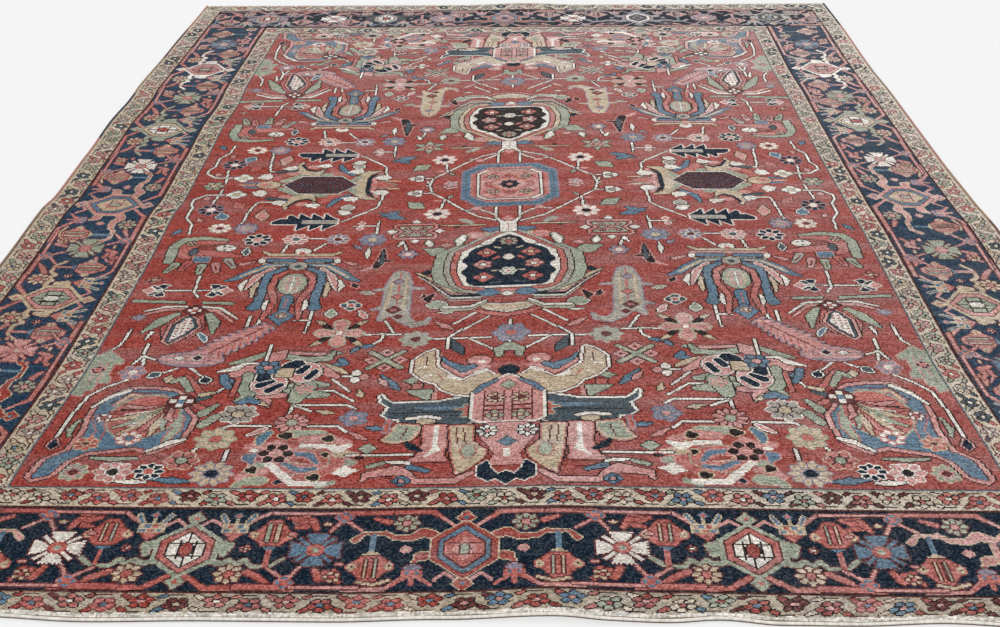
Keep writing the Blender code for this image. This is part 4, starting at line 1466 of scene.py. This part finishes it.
def wool_pile_material():
    """Dyed wool: the chart's colour, differing a little from knot to knot, in bands where a new lot of yarn
    began, bleached and dusty in patches of wear, and painted paler and lighter towards the back and the
    right as sheen."""
    material, tree, shader = plain_material("wool pile", 0.88, 0.03, 0.03)
    shader["Sheen Roughness"].default_value = 0.45
    shader["Sheen Tint"].default_value = (0.95, 0.90, 0.86, 1.0)
    place = tree.add("TexCoord", {}, "Object")
    across = tree.add("SeparateXYZ", {0: place}, "X")
    along = tree.add("SeparateXYZ", {0: place}, "Y")
    dye = tree.add("Attribute", {}, "Color", attribute_name="dye")
    knots = tree.add("UVMap", {}, "UV", uv_map="knots")
    knot = tree.add("VectorMath", {0: knots}, operation="FLOOR")
    single = tree.add("TexWhiteNoise", {"Vector": knot}, "Value", noise_dimensions="2D")
    # Each knot is a little lighter or darker than the next, and some are rubbed grey.
    colour = tree.varied(dye, single, 0.0, 1.0, 0.56, 1.36)
    rubbed = tree.ranged(single, 0.5, 1.0, 0.0, 0.11)
    colour = tree.mixed(rubbed, colour, (0.36, 0.35, 0.34, 1.0))
    # The yarn varies along a row of knots, and its lots from one group of rows to the next.
    streaks = tree.noise(place, (26.0, 260.0, 1.0), 1.0)
    colour = tree.varied(colour, streaks, 0.3, 0.7, 0.76, 1.22)
    lots = tree.noise(place, (0.35, 16.0, 1.0), 3.0)
    colour = tree.varied(colour, lots, 0.3, 0.7, 0.88, 1.12)
    # Wear and light have paled it in patches; the paling that grows towards the back and the right is
    # painted sheen.
    paled_by_wear_and_sheen = tree.add("HueSaturation", {"Saturation": 0.5, "Value": 1.1, "Color": colour}, "Color")
    wear_and_sheen = tree.ranged(tree.noise(place, (3.0, 14.0, 1.0), 5.0), 0.46, 0.66, 0.0, 0.42)
    wear_and_sheen = tree.math("MULTIPLY_ADD", single, 0.14, wear_and_sheen)
    # The paling added towards the back and the right is painted sheen.
    wear_and_sheen = tree.math("ADD", wear_and_sheen, tree.ranged(along, 0.0, 1.8, 0.0, 0.46))
    wear_and_sheen = tree.math("MULTIPLY_ADD", across, 0.16, wear_and_sheen)
    colour = tree.mixed(wear_and_sheen, colour, paled_by_wear_and_sheen)
    # Painted light: darker on the left, lighter on the right and towards the back, as sheen.
    colour = tree.varied(colour, across, -1.3, 1.3, 0.93, 1.12)
    colour = tree.varied(colour, along, -0.6, 1.8, 0.98, 1.22)
    fibres = spun(tree, shader, colour, 650.0, 0.9)
    # Each knot's tuft is a dome over its square of the chart.
    domes = []
    for axis in ("X", "Y"):
        within = tree.math("FRACT", tree.add("SeparateXYZ", {0: knots}, axis))
        offset = tree.math("MULTIPLY_ADD", within, 2.0, -1.0)
        square = tree.math("MULTIPLY", offset, offset)
        domes.append(tree.math("SUBTRACT", 1.0, square))
    dome = tree.math("SQRT", tree.math("MULTIPLY", *domes))
    dome = tree.math("MULTIPLY", dome, tree.math("MULTIPLY_ADD", single, 0.5, 0.6))
    raised(tree, shader, tree.math("MULTIPLY_ADD", fibres, 0.8, dome), 0.6, 0.0007)
    return material


wool_pile = wool_pile_material()
dye_colours = np.array([(*linear(colour), 1.0) for name, colour in DYES], np.float32)
point_row, point_column, knot_faces, knot_row, knot_column = knot_mesh()
all_points = pile_points(point_row, point_column)
STRIP_COLUMNS = COLUMNS // PILE_STRIPS
for strip in range(PILE_STRIPS):
    chosen = knot_column // STRIP_COLUMNS == strip
    used, faces = np.unique(knot_faces[chosen], return_inverse=True)
    faces = faces.reshape(-1, 3)
    piece = new_mesh("pile_strip_%d" % (strip + 1), all_points[used], faces)
    colours = piece.data.attributes.new("dye", "FLOAT_COLOR", "FACE")
    colours.data.foreach_set("color", dye_colours[chart[knot_row[chosen], knot_column[chosen]]].ravel())
    corner = used[faces.ravel()]
    across, along = point_column[corner].astype(float), point_row[corner].astype(float)
    knots = piece.data.uv_layers.new(name="knots")
    knots.data.foreach_set("uv", np.stack([across, along], axis=1).astype(np.float32).ravel())
    bake = piece.data.uv_layers.new(name="OFBake")
    layout = bake_layout(across - strip * STRIP_COLUMNS, along / ROWS, STRIP_COLUMNS)
    bake.data.foreach_set("uv", layout.astype(np.float32).ravel())
    piece.data.materials.append(wool_pile)
    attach(piece, "root")

# ---- Foundation -------------------------------------------------------------------
# The woven cotton ground on which the knots are tied, in one piece: it shows as the
# carpet's back, where the dyed wool comes through between the warps.
FOUNDATION_CELLS = (60, 84)
FOUNDATION_INSET = 0.0004   # it ends just inside the pile's rim


def foundation_slab():
    """A closed slab: one grid on the floor and swells, one at the tufts' feet, and a
    wall round both."""
    cells_x, cells_y = FOUNDATION_CELLS
    u, v = np.meshgrid(np.linspace(0, 1, cells_x + 1), np.linspace(0, 1, cells_y + 1))
    room = FOUNDATION_INSET + GAP
    x, y = lie(u, v, SELVEDGE_DIAMETER + room, END_CORD_DIAMETER + room)
    low = swell_height(x, y)
    layer = x.size
    points = np.concatenate([np.stack([x.ravel(), y.ravel(), (low + rise).ravel()], axis=1)
                             for rise in (0.0, FOUNDATION_TOP)])
    grid = np.arange(layer).reshape(x.shape)
    cell = np.stack([grid[:-1, :-1], grid[:-1, 1:], grid[1:, 1:], grid[1:, :-1]], axis=-1).reshape(-1, 4)
    ring = np.concatenate([grid[0, :-1], grid[:-1, -1], grid[-1, :0:-1], grid[:0:-1, 0]])
    onward = np.roll(ring, -1)
    wall = np.stack([ring, onward, onward + layer, ring + layer], axis=1)
    return new_mesh("foundation", points, np.concatenate([cell[:, ::-1], cell + layer, wall]))


def stepped_colours(tree, value, stops):
    """The colour of the last stop that the value has passed; stops are rows of a place
    from 0 to 1 and an sRGB colour."""
    node = tree.nodes.new("ShaderNodeValToRGB")
    node.color_ramp.interpolation = "CONSTANT"
    while len(node.color_ramp.elements) < len(stops):
        node.color_ramp.elements.new(1.0)
    for element, (place, colour) in zip(node.color_ramp.elements, stops):
        element.position = place
        element.color = (*linear(colour), 1.0)
    tree.links.new(value, node.inputs["Fac"])
    return node.outputs["Color"]


def threads(tree, place, pitch):
    """Round threads side by side, as heights from 0 to 1."""
    wave = tree.math("SINE", tree.math("MULTIPLY", place, np.pi / pitch))
    return tree.math("SQRT", tree.math("ABSOLUTE", wave))


def foundation_material():
    """The back: bands of the carpet's colours, dulled by the cotton, with the ribs of
    the wefts across it."""
    material, tree, shader = plain_material("foundation", 0.92, 0.1)
    place = tree.add("TexCoord", {}, "Object")
    across = tree.add("SeparateXYZ", {0: place}, "X")
    along = tree.add("SeparateXYZ", {0: place}, "Y")
    from_side = tree.math("SUBTRACT", CLOTH_WIDTH / 2, tree.math("ABSOLUTE", across))
    from_end = tree.math("SUBTRACT", CLOTH_LENGTH / 2, tree.math("ABSOLUTE", along))
    depth = tree.math("MINIMUM", from_side, from_end)
    guard, border, field = (0.58, 0.50, 0.41), (0.17, 0.19, 0.24), (0.52, 0.25, 0.21)
    bands = stepped_colours(tree, depth, ((0.0, guard), (0.072, border), (0.313, guard), (0.378, field)))
    cells = tree.add("TexVoronoi", {"Scale": 34.0, "Vector": place}, "Color")
    specks = stepped_colours(tree, tree.add("SeparateColor", {0: cells}, 0), (
        (0.0, (0.60, 0.53, 0.43)), (0.25, (0.27, 0.36, 0.42)), (0.45, (0.62, 0.40, 0.35)),
        (0.65, (0.36, 0.17, 0.16)), (0.8, (0.47, 0.49, 0.40))))
    where = tree.math("GREATER_THAN", tree.add("SeparateColor", {0: cells}, 1), 0.52)
    colour = tree.mixed(where, bands, specks)
    weft, warp = threads(tree, along, KNOT / 1000), threads(tree, across, KNOT / 2000)
    weave = tree.math("MULTIPLY", weft, warp)
    cotton = tree.math("MULTIPLY_ADD", weave, -0.55, 0.6)
    colour = tree.mixed(cotton, colour, (*linear((0.66, 0.61, 0.52)), 1.0))
    spun(tree, shader, colour, 500.0, 0.6)
    raised(tree, shader, weave, 0.8, 0.0006)
    return material


foundation = foundation_slab()
foundation.data.materials.append(foundation_material())
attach(foundation, "root")
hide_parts("rug")

# ---- Selvedges --------------------------------------------------------------------
# Along each long side the outermost warps are bundled and overcast with wool. The
# yarn changed when a length ran out, so the cord runs through several colours.
WRAP_PITCH = 0.0045         # from one turn of the overcasting yarn to the next
WRAP_RINGS = 4              # rings of points in each turn
WRAP_SIDES = 10
WRAP_RELIEF = 0.16          # depth between two turns, as a share of the radius

# Columns: place along the side, colour (sRGB) from there on
LEFT_YARNS = ((-1.95, (0.66, 0.45, 0.40)), (-0.62, (0.50, 0.40, 0.33)), (-0.20, (0.67, 0.47, 0.42)),
              (0.35, (0.16, 0.16, 0.22)), (0.78, (0.60, 0.50, 0.41)), (1.20, (0.34, 0.22, 0.19)),
              (1.58, (0.68, 0.48, 0.43)))
RIGHT_YARNS = ((-1.95, (0.62, 0.44, 0.38)), (-0.75, (0.42, 0.27, 0.22)), (-0.30, (0.60, 0.49, 0.39)),
               (0.10, (0.66, 0.46, 0.42)), (0.70, (0.58, 0.50, 0.42)), (1.10, (0.70, 0.50, 0.46)),
               (1.62, (0.17, 0.16, 0.20)))


def overcast_cord(name, x, y, radius, seed):
    """A cord along the points (x, y), resting on the floor or the swells. Its radius
    rises and falls like a row of round yarns that climb round it in a helix. Gives the
    piece, and for each point its turn number and its angle round the cord."""
    route = np.stack([x, y, swell_height(x, y) + radius], axis=1)
    ahead = np.gradient(route, axis=0)
    ahead /= np.linalg.norm(ahead, axis=1, keepdims=True)
    side = np.cross(ahead, (0.0, 0.0, 1.0))
    side /= np.linalg.norm(side, axis=1, keepdims=True)
    upward = np.cross(side, ahead)
    turn = np.arange(len(x)) / WRAP_RINGS
    angle = np.arange(WRAP_SIDES) * 2 * np.pi / WRAP_SIDES
    phase = (turn[:, None] + angle[None, :] / (2 * np.pi)) % 1.0
    yarn = np.sqrt(np.clip(1 - (2 * phase - 1) ** 2, 0, 1))
    thickness = 1 - 0.05 * np.random.default_rng(seed).random(int(turn[-1]) + 2)
    reach = radius * thickness[turn.astype(int)][:, None] * (1 - WRAP_RELIEF + WRAP_RELIEF * yarn)
    reach[[0, -1]] *= 0.55
    points = (route[:, None] + side[:, None] * (reach * np.cos(angle))[..., None]
              + upward[:, None] * (reach * np.sin(angle))[..., None])
    grid = np.arange(len(x) * WRAP_SIDES).reshape(-1, WRAP_SIDES)
    beside = np.roll(grid, -1, axis=1)
    low = np.stack([grid[:-1], beside[:-1], beside[1:]], axis=-1).reshape(-1, 3)
    high = np.stack([grid[:-1], beside[1:], grid[1:]], axis=-1).reshape(-1, 3)
    first, last = np.full(WRAP_SIDES, grid.size), np.full(WRAP_SIDES, grid.size + 1)
    caps = np.concatenate([np.stack([beside[0], grid[0], first], axis=1),
                           np.stack([grid[-1], beside[-1], last], axis=1)])
    points = np.concatenate([points.reshape(-1, 3), route[[0, -1]]])
    piece = new_mesh(name, points, np.concatenate([low, high, caps]))
    turns = np.append(np.repeat(turn, WRAP_SIDES), turn[[0, -1]])
    angles = np.append(np.tile(angle, len(x)), (0.5 * np.pi, 0.5 * np.pi))
    return piece, turns, angles


def yarn_attribute(piece, colours, turns, seed):
    """Each turn of the yarn in its own slightly different tone."""
    tone = np.random.default_rng(seed).uniform(0.86, 1.12, int(turns.max()) + 2)[turns.astype(int)]
    layer = piece.data.attributes.new("yarn", "FLOAT_COLOR", "POINT")
    tinted = np.concatenate([linear(colours) * tone[:, None], np.ones((len(colours), 1))], axis=1)
    layer.data.foreach_set("color", tinted.astype(np.float32).ravel())


def yarn_material(name, roughness, sheen):
    """Spun yarn in the colours of its attribute."""
    material, tree, shader = plain_material(name, roughness, 0.15, sheen)
    yarn = tree.add("Attribute", {}, "Color", attribute_name="yarn")
    raised(tree, shader, spun(tree, shader, yarn, 1200.0, 0.5), 0.5, 0.0004)
    return material


selvedge_wool = yarn_material("selvedge wool", 0.85, 0.2)
radius = SELVEDGE_DIAMETER / 2
rings = int(LENGTH / WRAP_PITCH) * WRAP_RINGS
share = np.linspace(0, 1, rings)
left, right = edge_pair(LEFT_SWING, RIGHT_SWING, WIDTH, LENGTH * (share - 0.5))
corner_u = np.array([0.0, 1.0])
front, back = edge_pair(FRONT_SWING, BACK_SWING, LENGTH, WIDTH * (corner_u - 0.5))
for name, number, centre, yarns in (("selvedge_left", 0, left + radius, LEFT_YARNS),
                                    ("selvedge_right", 1, right - radius, RIGHT_YARNS)):
    y = front[number] + (back[number] - front[number]) * share
    piece, turns, angles = overcast_cord(name + "_wrap", centre, y, radius, 21 + number)
    along = np.append(np.repeat(y, WRAP_SIDES), y[[0, -1]])
    lot = np.searchsorted([start for start, colour in yarns], along) - 1
    yarn_attribute(piece, np.array([colour for start, colour in yarns])[lot], turns, 31 + number)
    piece.data.materials.append(selvedge_wool)
    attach(piece, "root")
    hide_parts(name)

# ---- End finishes -----------------------------------------------------------------
# Across each end the warp ends are turned under and overcast with undyed cotton, over
# a strand of brown wool that shows along the outer lower side.
END_IVORY = (0.90, 0.88, 0.84)
END_BROWN = (0.34, 0.25, 0.21)
BROWN_FROM, BROWN_TO = np.radians((-80.0, 5.0))   # where the strand lies, from level outwards

end_cotton = yarn_material("end cotton", 0.9, 0.1)
radius = END_CORD_DIAMETER / 2
rings = int(CLOTH_WIDTH / WRAP_PITCH) * WRAP_RINGS
share = np.linspace(0, 1, rings)
front, back = edge_pair(FRONT_SWING, BACK_SWING, LENGTH, WIDTH * (share - 0.5))
for name, number, centre, outward in (("end_finish_front", 0, front + radius, 0.0),
                                      ("end_finish_back", 1, back - radius, np.pi)):
    x = lie(share, np.full_like(share, float(number)))[0]
    piece, turns, angles = overcast_cord(name + "_wrap", x, centre, radius, 41 + number)
    level = (angles - outward + np.pi) % (2 * np.pi) - np.pi
    if number:
        level = -level
    brown = (level > BROWN_FROM) & (level < BROWN_TO)
    yarn_attribute(piece, np.where(brown[:, None], END_BROWN, END_IVORY), turns, 51 + number)
    piece.data.materials.append(end_cotton)
    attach(piece, "root")
    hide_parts(name)

# ---- Studio -----------------------------------------------------------------------
# A plain pale floor that runs on into an even white sky of the same brightness, and a
# broad soft light from behind on the left.
FLOOR_HALF = 9.0
FLOOR_DROP = 0.0002
SKY_GREY = 0.961            # sRGB, as in the photograph
FLOOR_GLOW = 0.75           # share of the floor's brightness that shadows do not take
SUN_STRENGTH = 0.50
SUN_TILT = np.radians(32)   # away from straight above
SUN_HEADING = np.radians(128)

sky_light = float(linear(SKY_GREY))
ground = np.array([(-1, -1), (1, -1), (1, 1), (-1, 1)]) * FLOOR_HALF
ground = np.column_stack([ground, np.full(4, -FLOOR_DROP)])
floor = new_mesh("floor", ground, np.array([[0, 1, 2, 3]]))
pale, pale_shader = plain_material("pale floor", 1.0, 0.0)[::2]
floor_tone = (1 - FLOOR_GLOW) * sky_light / (sky_light + SUN_STRENGTH * np.cos(SUN_TILT) / np.pi)
pale_shader["Base Color"].default_value = (floor_tone, floor_tone, floor_tone, 1.0)
pale_shader["Emission Color"].default_value = (1.0, 1.0, 1.0, 1.0)
pale_shader["Emission Strength"].default_value = FLOOR_GLOW * sky_light
floor.data.materials.append(pale)

world = bpy.data.worlds.new("white sky")
world.use_nodes = True
world.node_tree.nodes["Background"].inputs["Color"].default_value = (1.0, 1.0, 1.0, 1.0)
world.node_tree.nodes["Background"].inputs["Strength"].default_value = sky_light
bpy.context.scene.world = world

sun_data = bpy.data.lights.new("broad light", "SUN")
sun_data.energy = SUN_STRENGTH
sun_data.angle = np.radians(40)
sun = bpy.data.objects.new("broad light", sun_data)
sun.rotation_euler = (SUN_TILT, 0.0, SUN_HEADING + np.pi / 2)
bpy.context.scene.collection.objects.link(sun)

# ---- Camera -----------------------------------------------------------------------
# The photograph's view: from in front of the near end, about head height, looking down.
CAMERA_PLACE = (0.047, -3.629, 1.554)
CAMERA_PITCH, CAMERA_YAW, CAMERA_ROLL = np.radians((29.036, -1.2305, -0.4898))
FOCAL_PIXELS = 1285.26
PHOTO_WIDTH = 1000
SENSOR_WIDTH = 36.0

ahead = np.array((np.sin(CAMERA_YAW) * np.cos(CAMERA_PITCH), np.cos(CAMERA_YAW) * np.cos(CAMERA_PITCH),
                  -np.sin(CAMERA_PITCH)))
level = np.array((np.cos(CAMERA_YAW), -np.sin(CAMERA_YAW), 0.0))
above = np.cross(level, ahead)
camera_right = np.cos(CAMERA_ROLL) * level + np.sin(CAMERA_ROLL) * above
camera_up = np.cos(CAMERA_ROLL) * above - np.sin(CAMERA_ROLL) * level
stand = np.eye(4)
stand[:3, :3] = np.stack([camera_right, camera_up, -ahead], axis=1)
stand[:3, 3] = CAMERA_PLACE
camera_data = bpy.data.cameras.new("camera")
camera_data.sensor_width = SENSOR_WIDTH
camera_data.sensor_fit = "HORIZONTAL"
camera_data.lens = FOCAL_PIXELS * SENSOR_WIDTH / PHOTO_WIDTH
camera = bpy.data.objects.new("camera", camera_data)
camera.matrix_world = Matrix(stand.tolist())
bpy.context.scene.collection.objects.link(camera)
bpy.context.scene.camera = camera
bpy.context.scene.view_settings.view_transform = "Standard"
